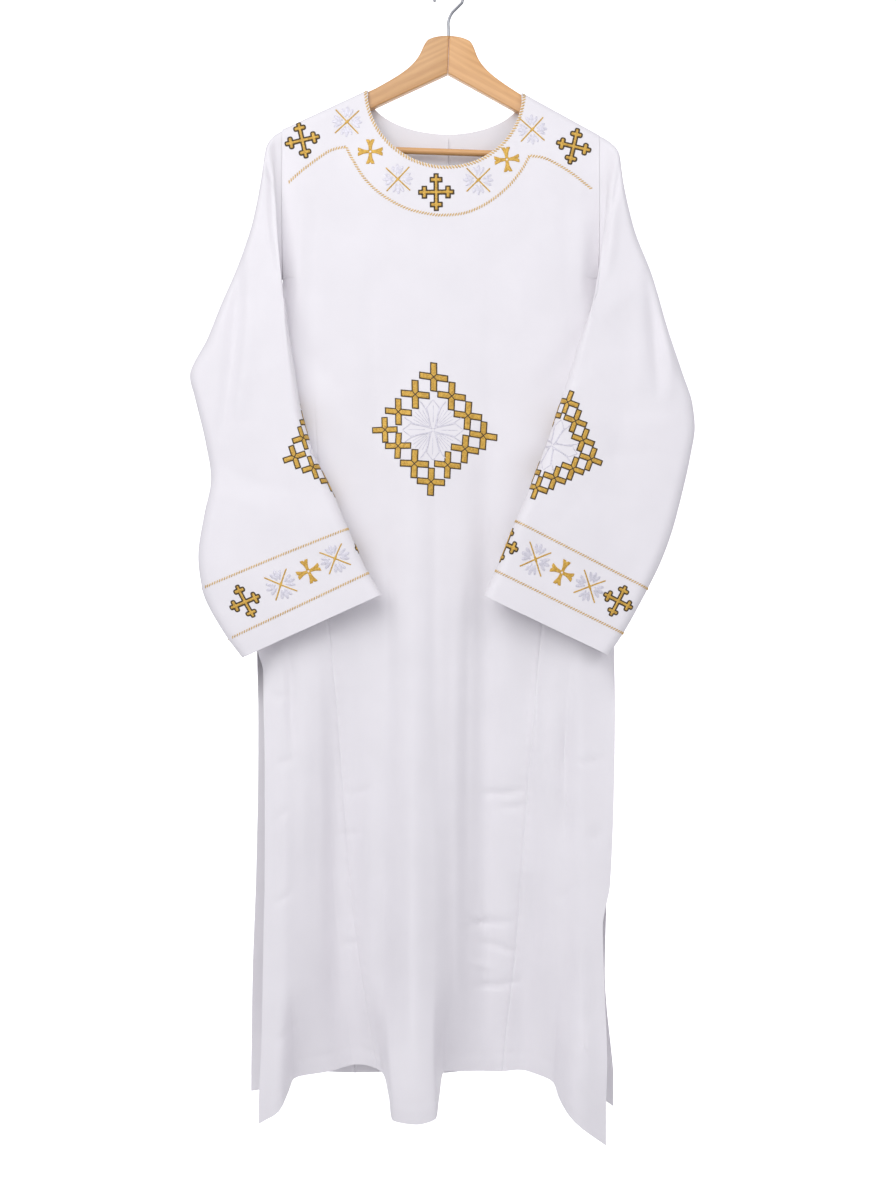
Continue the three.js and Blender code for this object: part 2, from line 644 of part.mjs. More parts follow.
// The hook: a short upright shank, a bend to the right and a round crook over the rail.
function hangerHook() {
  const centreDrop = HOOK_RADIUS - WIRE_RADIUS;
  const path = [
    new THREE.Vector3(0, 0, -HEAD_TOP_DROP + SEAM_GAP),
    new THREE.Vector3(0, 0, -(HEAD_TOP_DROP + HOOK_SHANK_TOP_DROP) / 2),
    new THREE.Vector3(0, 0, -HOOK_SHANK_TOP_DROP),
    new THREE.Vector3(4.5, 0, -HOOK_SHANK_TOP_DROP + 11),
    new THREE.Vector3(11.5, 0, -HOOK_SHANK_TOP_DROP + 18.5),
  ];
  for (let angle = -24; angle <= HOOK_END_ANGLE; angle += 11.3) {
    const turn = THREE.MathUtils.degToRad(angle);
    path.push(new THREE.Vector3(
      HOOK_RADIUS * Math.cos(turn), 0, HOOK_RADIUS * Math.sin(turn) - centreDrop,
    ));
  }
  const section = new THREE.Shape();
  section.absarc(0, 0, WIRE_RADIUS, 0, 2 * Math.PI);
  const geometry = new THREE.ExtrudeGeometry(section, {
    steps: 40,
    curveSegments: 4,
    extrudePath: new THREE.CatmullRomCurve3(path),
  });
  return namedMesh("hanger_hook", geometry, steelMaterial);
}

// The hanger hangs a little lower on the right, turned about the middle of its shoulder line.
function hanger() {
  const wood = new THREE.Group();
  wood.add(hangerArm("hanger_arm_left", true), hangerArm("hanger_arm_right", false), hangerBar());
  wood.children.forEach((piece) => piece.position.setZ(RIDGE_CENTRE_DROP));
  wood.position.setZ(-RIDGE_CENTRE_DROP);
  wood.rotation.y = THREE.MathUtils.degToRad(HANGER_TILT);
  const whole = new THREE.Group();
  whole.add(wood, hangerHook());
  return whole;
}

const tunic = new THREE.Group();
tunic.add(...frontPieces(), ...backPieces());
tunic.add(sleeve("sleeve_left", leftSleeve), sleeve("sleeve_right", rightSleeve));
tunic.add(hanger());

export default tunic;
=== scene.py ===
"""A deacon tunic on a wooden hanger, dressed over its CAD model.

Run as a script in Blender 4.5. Everything is in the CAD model's frame: +X is the
right of the front view, +Y points to the back, +Z is up, and the origin is the inside
top of the hanger's hook. Cloth and embroidery are worked out in millimetres, as
"across" along X, "drop" below the origin and "out" from the hanger's plane.
"""
import math

import bpy
import numpy as np
from bpy.props import FloatProperty, FloatVectorProperty, PointerProperty
from bpy.types import Operator, Panel, PropertyGroup
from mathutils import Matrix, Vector


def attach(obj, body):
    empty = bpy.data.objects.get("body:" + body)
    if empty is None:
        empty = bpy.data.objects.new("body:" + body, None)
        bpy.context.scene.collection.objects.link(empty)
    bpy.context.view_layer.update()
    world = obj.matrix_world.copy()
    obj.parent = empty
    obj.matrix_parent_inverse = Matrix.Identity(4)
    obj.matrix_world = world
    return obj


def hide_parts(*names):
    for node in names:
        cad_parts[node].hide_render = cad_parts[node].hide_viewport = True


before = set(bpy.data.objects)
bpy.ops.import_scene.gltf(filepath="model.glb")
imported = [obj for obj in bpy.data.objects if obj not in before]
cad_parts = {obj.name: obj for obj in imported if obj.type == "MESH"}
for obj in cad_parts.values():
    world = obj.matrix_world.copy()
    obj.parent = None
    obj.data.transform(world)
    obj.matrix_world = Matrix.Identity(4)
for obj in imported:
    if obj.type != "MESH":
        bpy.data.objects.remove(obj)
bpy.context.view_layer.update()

bl_info = {
    "name": "Deacon Tunic",
    "version": (1, 0, 0),
    "blender": (4, 5, 0),
    "location": "View3D > Sidebar > Tunic",
    "description": "Builds a deacon tunic with its embroidery on a wooden hanger",
    "category": "Object",
}

MM = 0.001
BODY = "root"

# ---- Sizes of the cut, in millimetres ----
SEAM_GAP = 0.3
SEAM_OPENING = 0.02
SHOULDER_ROUND = 13
SIDE_ROUND = 30
ARMHOLE_TAPER = 150
RIDGE_CENTRE_DROP = 100
RIDGE_SLOPE_LEFT = 0.464
RIDGE_SLOPE_RIGHT = 0.55
ARMHOLE_DROP = 430
SLIT_TOP_DROP = 960
GORE_SEAM_SHOWS = 560
SLIT_EASE = 100
FOLD_START_DROP = 760
FOLD_GROWTH = 1.3
SIDE_CLOSING_ABOVE = 110
SIDE_CLOSING_BELOW = 90
HEM_DROP = 1600
NECK_LEFT = -118
NECK_RIGHT = 107
NECK_BASE_LEFT_DROP = 154.5
NECK_BASE_RIGHT_DROP = 158.9
FRONT_NECK_DEPTH = 112.5
BACK_NECK_DEPTH = 57
ARMHOLE_LEFT = -241
# The gore seams' distances from the middle at the armhole
PANEL_LEFT = 205
PANEL_RIGHT = 178
# A gore's width where its columns are spread evenly
GORE_WIDTH = 60
# Marks that sewing leaves in the cloth: grooves, and ripples beside the seams
SEAM_GROOVE = {"depth": 1.3, "half": 1.7}
SEAM_PUCKER = {"depth": 0.35, "from_seam": 6, "half": 6}
SEAM_STARTS_OVER = {"front": 180, "back": 60}
HEM_TURN = 24
HEM_STITCH = {"depth": 0.7, "half": 1.8}
HEM_THICKER = 0.35
SLIT_STITCH = {"depth": 0.5, "from_edge": 11, "half": 1.6}
CUFF_TURN = 30
CUFF_STITCH = {"depth": 0.5, "half": 2.0}
# Heights above the hem between which the hem's own folds take over
HEM_FOLDS_FROM = 170
HEM_FOLDS_TO = 15
# About the distance between the last rings of a sleeve's table
RING_LENGTH = 42
BACK_CREASES_UP = 40

SWELL = """below front back
0 0 0
13 0 0
120 5 5
330 9 7
800 13 9
1500 20 16"""

FRONT_LINES = """drop left left_seam right_seam right
430 -241 -205 178 218
927 -277 -173 135 240
960 -279 -170 132 241
1000 -268 -166 128 240
1145 -263 -155 116 237
1300 -262 -144 105 230
1360 -263 -138 101 219
1446 -264 -125 93 221
1532 -265 -111 83 223
1600 -268 -100 78 221"""

BACK_LINES = """drop left left_seam centre_seam right_seam right
430 -241 -205 0 178 218
960 -279 -172 0 134 241
1145 -281 -160 -2 124 240
1300 -285 -152 -5 116 236
1446 -291 -145 -8 108 233
1600 -294 -138 -12 100 246"""

FRONT_HEM = """across out drop
-268 70 1634
-238 75 1614
-227 50 1593
-224 16 1586
-168 2 1580
-117 -4 1573
-93 6 1581
-85 60 1596
-78 110 1615
-44 120 1618
-17 110 1612
-13 60 1599
-7 2 1580
56 -8 1583
102 0 1581
150 20 1590
156 50 1602
170 80 1620
195 85 1641
221 80 1661"""

# The front's shape across the skirt, above the last folds of the hem
FRONT_DRAPE = """across out
-268 62
-238 66
-208 48
-180 20
-164 8
-148 8
-120 14
-95 32
-72 74
-50 98
-22 84
8 42
38 10
60 0
88 -3
108 -2
137 10
165 38
195 66
221 66"""

BACK_HEM = """across out drop
-294 55 1626
-262 64 1622
-225 80 1612
-190 58 1598
-150 38 1593
-105 44 1594
-60 76 1606
-15 98 1612
25 90 1606
60 52 1587
95 36 1583
135 42 1588
170 72 1606
200 88 1622
228 72 1640
246 60 1650"""

# Folds and creases: a line from one place to another, how far it bows to its left,
# its half width, and its depth. A positive depth is a trough, a negative one a ridge.
FRONT_CREASES = """across0 drop0 across1 drop1 bow width depth
-228 950 -224 1120 0 7 6
-236 1120 -232 1440 0 11 -3
-199 940 -205 1330 0 12 -3
-151 960 -141 1760 0 29 18
172 980 166 1260 0 12 6
144 1060 140 1480 0 14 -6
112 1290 104 1740 0 20 12
184 1360 182 1740 0 18 -6
54 640 50 1620 0 23 13
-52 540 -50 1600 0 26 -6
-116 1120 -116 1620 0 17 -7
-167 1120 -159 1590 5 10 3
-188 950 -186 1480 -5 9 -4.2
30 840 30 1570 5 8 2.2
12 900 16 1480 4 10 -2.3
-90 780 -84 1380 -5 9 2.1
-20 720 -12 1260 4 9 1.8
174 1020 168 1230 3 5 3.8
138 1430 131 1570 2 7 4.6
127 990 125 1170 0 7 -3.8
115 1240 113 1430 3 7 -3.4
44 1176 112 1168 3 5 3.8
70 1196 116 1190 2 4 2.7
14 1369 98 1363 -3 5 3.4
20 1348 62 1372 2 4 2.8
40 1392 104 1410 -3 5 3
22 1415 72 1432 2 5 -2.5
28 1455 113 1449 3 5 3.8
-156 1395 -126 1390 2 4 3
-164 1235 -122 1230 2 5 2.7
-150 1180 -108 1162 2 5 2.5
-266 1031 -228 1033 2 5 3.4
-250 1130 -215 1118 2 6 2.7
-256 1216 -228 1190 2 5 2.5
-252 1330 -222 1308 2 5 2.3
-246 1520 -214 1496 2 6 2.8
200 1240 222 1216 2 6 3.4
180 1128 224 1120 3 5 2.8
190 1500 216 1440 3 7 4.2
168 1560 200 1500 3 8 -3.4
178 1600 212 1556 2 7 3.6
150 1330 188 1290 3 8 2.3
-240 470 -150 600 8 15 2
-232 520 -120 690 10 18 -1.7
214 470 110 610 -8 15 2
206 540 96 700 -10 18 -1.7
-190 300 -196 520 4 14 1.8
165 300 172 520 -4 14 1.8
-100 350 -140 520 6 16 -1.2
80 350 110 540 -6 16 -1.2
-5 345 -8 560 4 20 -1.3
60 420 66 760 5 13 1.3
-120 430 -104 760 -5 13 1.2"""

BACK_CREASES = """across0 drop0 across1 drop1 bow width depth
-110 330 -150 1000 0 18 5
95 330 118 1000 0 18 5
-40 480 -62 1250 0 22 -5
46 480 52 1250 0 22 -5
-200 240 -120 420 10 14 1.6
185 250 100 420 -10 14 1.6
-225 470 -150 640 8 13 1.6
205 470 130 640 -8 13 1.6
-236 560 -170 760 8 14 -1.3
214 560 150 760 -8 14 -1.3
-90 700 -96 1300 5 9 2.2
82 660 90 1320 -5 9 2.2
-20 600 -26 1180 4 8 1.8
24 820 20 1420 -4 9 -1.8
-200 980 -208 1420 4 9 2.4
178 960 186 1400 -4 9 2.4
-252 1180 -220 1170 2 6 1.2
150 1250 196 1242 -3 6 1.2
-60 1340 -10 1332 3 7 1.1
-150 1460 -110 1452 2 6 1.1
60 1500 96 1440 3 7 1.4
-30 180 -30 300 0 16 0.8"""

SLEEVE_COLUMNS = "outer_x outer_drop inner_x inner_drop outer_out inner_out half lap"
LEFT_SLEEVE = """
-241.3 213.8 -241.3 430 0 0 13 0
-250 219.5 -247 443 2 13 13 0
-263 238 -243 456 10 31 14 7
-271 292 -233 478 16 41 16 5
-282 350 -229 508 20 43 17 2
-303 415 -223 545 24 44 18 0
-327 472 -216 590 27 45 18 0
-346 520 -209 630 29 45 18 0
-371 573 -199 665 30 46 18 0
-364 605 -191 688 31 46 18 0
-348.5 669 -180 712 32 47 18 0
-340.5 722 -170 732 33 48 18 0
-350 774 -160 753 35 50 18 0
-358 831 -150 778 37 53 17 0
-352 880 -140 800 40 55 16 0
-321 941 -117 851 43 58 15 0
-294 977.5 -95 887.5 45 60 14 0"""
RIGHT_SLEEVE = """
218.3 220.8 218.3 430 0 0 13 0
229 227.5 224 443 2 13 13 0
246 248 220 456 10 31 14 9
252 292 206 476 16 42 15 7
267 360 196 500 20 44 17 3
293 430 187 525 24 45 18 0
315 507 177 557 27 46 18 0
334 565 167 590 29 46 18 0
350 615 157 620 30 46 18 0
353 648 148 648 31 47 18 0
346 692 138 676 32 47 18 0
334 745 126 708 33 48 18 0
319 800 112 744 35 50 18 0
303 842 103 764 37 52 17 0
284 880 94 785 40 54 16 0
252 938 68 850 43 57 15 0
228 974 49.5 889 45 59 14 0"""

# Creases of each sleeve as its front shows them. The back has the same ones, higher up.
LEFT_SLEEVE_CREASES = """across0 drop0 across1 drop1 bow width depth
-266 240 -252 300 2 4 3.2
-256 270 -238 440 4 6 4.2
-250 250 -230 430 4 6 -2.2
-298 395 -322 670 -4 12 7.5
-284 400 -304 640 -4 12 -3.0
-276 460 -296 640 -6 16 -2.5
-252 480 -214 640 6 16 1.4
-285 640 -262 800 6 18 -1.4
-236 700 -190 830 6 14 1.2
-330 700 -215 742 8 12 1.1
-345 745 -260 768 -6 11 -1.0
-214 540 -200 640 3 8 1.4
-300 860 -262 930 4 13 1.2
-200 820 -160 880 -4 12 1.0
-232 560 -300 590 4 11 -0.9"""
RIGHT_SLEEVE_CREASES = """across0 drop0 across1 drop1 bow width depth
248 255 228 355 -3 4 3.0
222 290 216 420 -2 7 4.5
236 300 224 440 -4 8 -2.4
282 420 298 610 -4 10 6.5
306 490 314 610 -4 9 -3.0
266 470 272 600 -4 15 -2.2
196 520 178 590 -4 13 1.6
250 560 232 720 -6 17 1.3
320 690 200 700 8 14 1.2
330 640 250 640 -6 12 -1.0
200 720 150 790 -5 13 1.2
150 640 128 720 -4 10 1.3
270 830 226 900 -5 13 1.1
140 800 108 850 4 11 1.0
262 460 216 500 5 12 -1.0"""


class Table:
    """Rows of numbers under named columns, read between rows on a smooth curve."""

    def __init__(self, text, names=None):
        lines = text.strip().split("\n")
        if names is None:
            names = lines.pop(0)
        self.names = names.split()
        self.rows = np.array([[float(word) for word in line.split()] for line in lines])
        self.columns = dict(zip(self.names, self.rows.T))

    def add(self, name, values):
        self.columns[name] = np.asarray(values, float)

    def read(self, key, column, at):
        x, y = self.columns[key], self.columns[column]
        at = np.clip(at, x[0], x[-1])
        rise = np.diff(y) / np.diff(x)
        before, after = rise[:-1], rise[1:]
        same_way = before * after > 0
        total = np.where(same_way, before + after, 1.0)
        slope = np.concatenate(
            [rise[:1], np.where(same_way, 2 * before * after / total, 0.0), rise[-1:]]
        )
        row = np.clip(np.searchsorted(x, at, side="left") - 1, 0, len(x) - 2)
        span = x[row + 1] - x[row]
        t = (at - x[row]) / span
        t2, t3 = t * t, t * t * t
        return (
            (2 * t3 - 3 * t2 + 1) * y[row]
            + (t3 - 2 * t2 + t) * span * slope[row]
            + (3 * t2 - 2 * t3) * y[row + 1]
            + (t3 - t2) * span * slope[row + 1]
        )


def mix(start, end, share):
    """A value on the straight run from start to end."""
    return start + (end - start) * share


def smooth_step(low, high, value):
    """0 at low and 1 at high, level at both ends."""
    share = np.clip((value - low) / (high - low), 0, 1)
    return share * share * (3 - 2 * share)


def rounded(from_edge, radius, half=None):
    """Half the depth of a rounded fold, at a distance from its edge."""
    rest = 1 - np.clip(from_edge / radius, 0, 1)
    return (radius if half is None else half) * np.sqrt(1 - rest * rest)


def mark(distance, depth, half):
    """A narrow groove beside a line, at a distance from it."""
    return depth * np.exp(-((distance / half) ** 2))


def ridge_drop(across):
    """Drop of the shoulder line."""
    slope = np.where(across < 0, RIDGE_SLOPE_LEFT, RIDGE_SLOPE_RIGHT)
    return RIDGE_CENTRE_DROP + slope * np.abs(across)


def top_drop(across, neck_depth):
    """Drop of the body's upper edge: the shoulder line, and the neck's curve between."""
    share = np.clip((across - NECK_LEFT) / (NECK_RIGHT - NECK_LEFT), 0, 1)
    neck = mix(NECK_BASE_LEFT_DROP, NECK_BASE_RIGHT_DROP, share)
    neck = neck + neck_depth * np.sqrt(1 - (2 * share - 1) ** 2)
    beside = (across <= NECK_LEFT) | (across >= NECK_RIGHT)
    return np.where(beside, ridge_drop(across), neck)


def crease_depth(creases, across, drop):
    """Depth that a table of creases adds at each place."""
    total = np.zeros(np.broadcast(across, drop).shape)
    for across0, drop0, across1, drop1, bow, width, depth in creases.rows:
        run, fall = across1 - across0, drop1 - drop0
        length = math.hypot(run, fall)
        along = ((across - across0) * run + (drop - drop0) * fall) / length**2
        window = np.sin(np.pi * np.clip(along, 0, 1))
        aside = ((drop - drop0) * run - (across - across0) * fall) / length
        aside = (aside - bow * window) / (width * (0.75 + 0.25 * window))
        total += depth * np.exp(-aside * aside) * window**0.7
    return total


def ripple(across, drop, phase):
    """Slight unevenness of hanging cloth."""
    return (
        0.45 * np.sin(across / 19 + drop / 160 + phase)
        + 0.35 * np.sin(across / 31 - drop / 230 + 2.1 * phase)
        + 0.22 * np.sin(across / 47 + drop / 61 + 0.7 * phase)
        + 0.12 * np.sin(across / 11.5 - drop / 83 + 3.3 * phase)
    )


# Half the step over which the cloth's directions are read
NEAR = 0.8


class BodySide:
    """The front or the back of the tunic's body, between the shoulder line and the hem."""

    def __init__(self, face, lines, hem, drape, creases, neck_depth):
        self.face = face
        self.outward = -1 if face == "front" else 1
        self.lines = Table(lines)
        self.line_names = self.lines.names[1:]
        self.hem = Table(hem)
        self.drape = Table(drape)
        self.creases = Table(creases)
        self.swell = Table(SWELL)
        self.neck_depth = neck_depth
        steps = np.hypot(np.diff(self.hem.columns["across"]), np.diff(self.hem.columns["out"]))
        lengths = np.concatenate([[0], np.cumsum(steps)])
        self.hem_length = lengths[-1]
        self.hem.add("share", lengths / lengths[-1])
        ends = [self.lines.columns[name][-1] for name in self.line_names]
        self.hem_shares = self.hem.read("across", "share", np.array(ends))

    def across_at(self, panel, share, seam, drop, spread):
        """Place across the body of a point at a share of its panel's width."""
        places = [self.lines.read("drop", name, drop) for name in self.line_names]
        panel = np.broadcast_to(panel, np.shape(drop))
        start = np.choose(panel, places[:-1])
        end = np.choose(panel, places[1:])
        share_start = self.hem_shares[panel]
        share_end = self.hem_shares[panel + 1]
        cloth = mix(end - start, self.hem_length * (share_end - share_start), spread)
        share = share + seam * SEAM_OPENING / 2 / cloth
        hem_start = self.hem.read("share", "across", share_start)
        hem_end = self.hem.read("share", "across", share_end)
        hem_share = mix(share_start, share_end, share)
        gathered = self.hem.read("share", "across", hem_share) - hem_start
        gathered = gathered / (hem_end - hem_start)
        across = mix(start, end, mix(share, gathered, spread))
        return across, hem_share, share * cloth, (1 - share) * cloth

    def out_at(self, across, drop, hem_share=None):
        """How far the cloth stands out from the hanger's plane."""
        left = self.lines.read("drop", "left", drop)
        right = self.lines.read("drop", "right", drop)
        from_side = np.minimum(across - left, right - across)
        below = np.maximum(0, drop - ridge_drop(across))
        opened = rounded(below, SHOULDER_ROUND)
        inside = opened + self.swell.read("below", self.face, below)
        closing = rounded(ARMHOLE_DROP - drop, ARMHOLE_TAPER, SHOULDER_ROUND)
        armhole_edge = np.minimum(opened, closing)
        edge = np.maximum(SEAM_GAP / 2, armhole_edge)
        sewn = smooth_step(
            ARMHOLE_DROP - SIDE_CLOSING_ABOVE, ARMHOLE_DROP + SIDE_CLOSING_BELOW, drop
        )
        near_side = np.clip(from_side / SIDE_ROUND, 0, 1)
        blend = mix(smooth_step(0, 1, near_side), rounded(near_side, 1), sewn)
        closed = mix(edge, inside, blend)
        upper = mix(closed, inside, smooth_step(SLIT_TOP_DROP, SLIT_TOP_DROP + SLIT_EASE, drop))
        free = smooth_step(0, SIDE_ROUND, from_side)
        if hem_share is None:
            draped = upper
        else:
            slit = np.clip((drop - SLIT_TOP_DROP) / (HEM_DROP - SLIT_TOP_DROP), 0, 1)
            fall = mix(slit, self.flare(drop), smooth_step(0, 2 * SIDE_ROUND, from_side))
            above = self.drape.read("across", "out", across)
            foot = self.hem.read("share", "out", hem_share)
            low_down = smooth_step(HEM_DROP - HEM_FOLDS_FROM, HEM_DROP - HEM_FOLDS_TO, drop)
            foot = mix(above, foot, low_down)
            draped = mix(upper, foot, fall)
        loose = free * smooth_step(4, 60, below)
        draped = draped - crease_depth(self.creases, across, drop) * free
        draped = draped + ripple(across, drop, self.outward) * loose
        edging = mark(
            from_side - SLIT_STITCH["from_edge"], SLIT_STITCH["depth"], SLIT_STITCH["half"]
        )
        draped = draped - edging * smooth_step(SLIT_TOP_DROP - 4, SLIT_TOP_DROP + 6, drop)
        return np.where(drop <= SLIT_TOP_DROP, np.maximum(SEAM_GAP / 2, draped), draped)

    @staticmethod
    def flare(drop):
        """How much of the hem's folds shows at a drop."""
        share = np.clip((drop - FOLD_START_DROP) / (HEM_DROP - FOLD_START_DROP), 0, 1)
        return share**FOLD_GROWTH

    def place(self, across, drop):
        """Points on the cloth above the skirt's flare, and the directions out of it."""
        def point(a, d):
            return np.stack([a, self.outward * self.out_at(a, d), -d], axis=-1)

        along = point(across + NEAR, drop) - point(across - NEAR, drop)
        down = point(across, drop + NEAR) - point(across, drop - NEAR)
        return point(across, drop), unit_normals(along, down, (0, self.outward, 0))

    def grid(self, columns, rows):
        """Points for (panel, share) columns at (zone, share) rows, with the marks of seams."""
        panel = np.array([entry[0] for entry in columns])
        share = np.array([entry[1] for entry in columns])
        last = len(self.line_names) - 2
        at_start = (share == 0) & (panel > 0)
        at_end = (share == 1) & (panel < last)
        seam = at_start.astype(float) - at_end.astype(float)
        zone = np.array([entry[0] for entry in rows])[:, None]
        row_share = np.array([entry[1] for entry in rows])[:, None]

        hem, armhole, slit = (
            np.full(len(columns), float(drop)) for drop in (HEM_DROP, ARMHOLE_DROP, SLIT_TOP_DROP)
        )
        _, foot_share, _, _ = self.across_at(panel, share, seam, hem, 1.0)
        top, _, _, _ = self.across_at(panel, share, seam, armhole, 0.0)
        foot = self.hem.read("share", "drop", foot_share)
        levels = np.stack([top_drop(top, self.neck_depth), armhole, slit, foot])
        drop = mix(levels[zone[:, 0]], levels[zone[:, 0] + 1], row_share)
        across, hem_share, from_start, from_end = self.across_at(
            panel, share, seam, drop, self.flare(drop)
        )
        out = self.out_at(across, drop, hem_share)
        seam_in = np.zeros_like(out)
        for distance, there in ((from_start, panel > 0), (from_end, panel < last)):
            groove = mark(distance, SEAM_GROOVE["depth"], SEAM_GROOVE["half"])
            pucker = SEAM_PUCKER["depth"] * np.sin(drop / 2.9 + 1.3 * np.sin(drop / 17))
            pucker = pucker * mark(distance - SEAM_PUCKER["from_seam"], 1, SEAM_PUCKER["half"])
            seam_in += np.where(there, groove + pucker, 0)
        seam_top = GORE_SEAM_SHOWS if self.face == "front" else ARMHOLE_DROP
        begins = smooth_step(seam_top, seam_top + SEAM_STARTS_OVER[self.face], drop)
        if self.face == "back":
            near_centre = np.abs(across - self.lines.read("drop", "centre_seam", drop)) < 30
            begins = np.where(near_centre, 1.0, begins)
        seam_in = seam_in * begins * smooth_step(2, 14, drop - levels[0])
        from_hem = levels[3] - drop
        stitched = mark(from_hem - HEM_TURN, HEM_STITCH["depth"], HEM_STITCH["half"])
        hem_mark = stitched - HEM_THICKER * smooth_step(HEM_TURN + 1, HEM_TURN - 2, from_hem)
        out = out - seam_in - hem_mark * smooth_step(400, 200, from_hem)
        out = np.where(drop <= SLIT_TOP_DROP, np.maximum(SEAM_GAP / 2, out), out)
        return np.stack([across, self.outward * out, -drop], axis=-1)


class Sleeve:
    """A flattened tube of cloth that turns down from the armhole and runs to the cuff."""

    def __init__(self, rows, creases):
        self.table = Table(rows, SLEEVE_COLUMNS)
        self.last = len(self.table.rows) - 1
        self.table.add("ring", np.arange(self.last + 1))
        self.creases = Table(creases)
        self.side = math.copysign(1, self.table.rows[0][0])

    def section(self, ring):
        """Outer and inner edge points, half depth and lap at a place down the sleeve."""
        def read(name):
            return self.table.read("ring", name, ring)

        outer = np.stack([read("outer_x"), -read("outer_out"), -read("outer_drop")], axis=-1)
        inner = np.stack([read("inner_x"), -read("inner_out"), -read("inner_drop")], axis=-1)
        return outer, inner, read("half"), read("lap")

    def half_round(self, ring):
        """Length of cloth from the inner edge to the outer edge, over one face."""
        outer, inner, half, _ = self.section(ring)
        return np.linalg.norm(outer - inner, axis=-1) - 2 * half + math.pi * half

    def surface(self, ring, around):
        """Points at a distance round from the inner edge, negative over the front."""
        ring, around = np.broadcast_arrays(np.asarray(ring, float), np.asarray(around, float))
        outer, inner, half, lap = self.section(ring)
        length = np.linalg.norm(outer - inner, axis=-1)
        quarter = math.pi / 2 * half
        flat = length - 2 * half
        distance = np.abs(around)
        near = distance / half
        far = (distance - quarter - flat) / half
        from_inner = np.where(
            distance < quarter,
            half * (1 - np.cos(near)),
            np.where(
                distance < quarter + flat,
                half + distance - quarter,
                length - half + half * np.sin(np.clip(far, 0, math.pi / 2)),
            ),
        )
        depth = np.where(
            distance < quarter,
            half * np.sin(near),
            np.where(distance < quarter + flat, half, half * np.cos(np.clip(far, 0, math.pi / 2))),
        )
        tapered = np.minimum(depth, rounded(from_inner, ARMHOLE_TAPER, half))
        depth = mix(tapered, depth, smooth_step(0, 2, ring))
        share = 1 - from_inner / length
        facing = np.where(around < 0, -1.0, 1.0)
        base = outer + (inner - outer) * share[..., None]
        shift = np.where(around < 0, lap * np.sin(np.pi * np.clip(share, 0, 1)), 0)
        across = base[..., 0] - self.side * shift
        drop = -base[..., 2]
        loose = (depth / half) ** 2 * smooth_step(0, 2, ring)
        waves = crease_depth(self.creases, across, drop + BACK_CREASES_UP * (facing > 0))
        waves = waves - ripple(across * 1.3, drop, 5 * facing + self.side)
        from_cuff = (self.last - ring) * RING_LENGTH
        hem_mark = mark(from_cuff - CUFF_TURN, CUFF_STITCH["depth"], CUFF_STITCH["half"])
        waves = waves + hem_mark * (self.last - ring < 1)
        depth = depth - waves * loose
        return np.stack([across, base[..., 1] + facing * depth, -drop], axis=-1)

    def place(self, across, drop):
        """Points for places on the sleeve spread out flat, as its front face shows them.

        Places beyond the inner edge go round it and on over the back face.
        """
        rings = np.linspace(2.5, self.last - 0.5, 420)
        outer, inner, half, _ = self.section(rings)
        edge = inner[:, [0, 2]] * [1, -1]
        reach = (inner - outer)[:, [0, 2]] * [1, -1]
        length = np.linalg.norm(reach, axis=-1)
        reach = reach / length[:, None]
        down = np.gradient(edge, axis=0)
        down /= np.linalg.norm(down, axis=-1, keepdims=True)
        away = np.stack([down[:, 1], -down[:, 0]], axis=-1) * -self.side

        place = np.stack([across, drop], axis=-1)
        nearest = np.argmin(np.linalg.norm(place[:, None] - edge[None], axis=-1), axis=1)
        along = np.sum((place - edge[nearest]) * down[nearest], axis=-1)
        beyond = np.sum((place - edge[nearest]) * away[nearest], axis=-1)
        lean = np.abs(np.sum(reach[nearest] * away[nearest], axis=-1))
        narrow = half[nearest] * lean
        turned = beyond + narrow
        round_length = math.pi * half[nearest] * np.sqrt((1 + lean**2) / 2)
        angle = math.pi * np.clip(turned / round_length, 0, 1)
        inwards = narrow * (1 - np.sin(angle)) + np.maximum(0, turned - round_length)
        wrapped = edge[nearest] + down[nearest] * along[:, None]
        wrapped = wrapped - away[nearest] * inwards[:, None]
        flat = np.where((turned > 0)[:, None], wrapped, place)
        facing = np.where((turned > 0) & (angle > math.pi / 2), 1.0, -1.0)

        from_edge = flat[:, None] - edge[None]
        aside = reach[:, 0] * from_edge[..., 1] - reach[:, 1] * from_edge[..., 0]
        inside = -np.sum(from_edge * reach[None], axis=-1) / length
        crosses = np.sign(aside[:, :-1]) != np.sign(aside[:, 1:])
        score = np.where(crosses, np.abs(inside[:, :-1] - 0.5), 1e6)
        best = np.argmin(score, axis=1)
        rows = np.arange(len(across))
        before, after = aside[rows, best], aside[rows, best + 1]
        ring = rings[best] + (rings[1] - rings[0]) * before / (before - after)
        from_inner = mix(inside[rows, best], inside[rows, best + 1], before / (before - after))
        from_inner = from_inner * np.interp(ring, rings, length)
        radius = np.interp(ring, rings, half)
        round_part = radius * np.arccos(np.clip(1 - from_inner / radius, -1, 1))
        straight = math.pi / 2 * radius + from_inner - radius
        around = facing * np.where(from_inner < radius, round_part, straight)
        return self.with_normals(ring, around)

    def with_normals(self, ring, around):
        """Points on the sleeve and the directions out of it."""
        down = self.surface(ring + 0.02, around) - self.surface(ring - 0.02, around)
        along = self.surface(ring, around + NEAR) - self.surface(ring, around - NEAR)
        points = self.surface(ring, around)
        outer, inner, _, _ = self.section(ring)
        return points, unit_normals(along, down, points - (outer + inner) / 2)


def unit_normals(along, down, guide=None):
    """Directions out of a surface, turned to the guide's side where one is given."""
    normals = np.cross(along, down)
    length = np.linalg.norm(normals, axis=-1, keepdims=True)
    normals = normals / np.where(length < 1e-9, 1, length)
    if guide is None:
        return normals
    facing = np.sum(normals * np.asarray(guide, float), axis=-1, keepdims=True)
    return np.where(facing < 0, -normals, normals)


# ---- Meshes ----


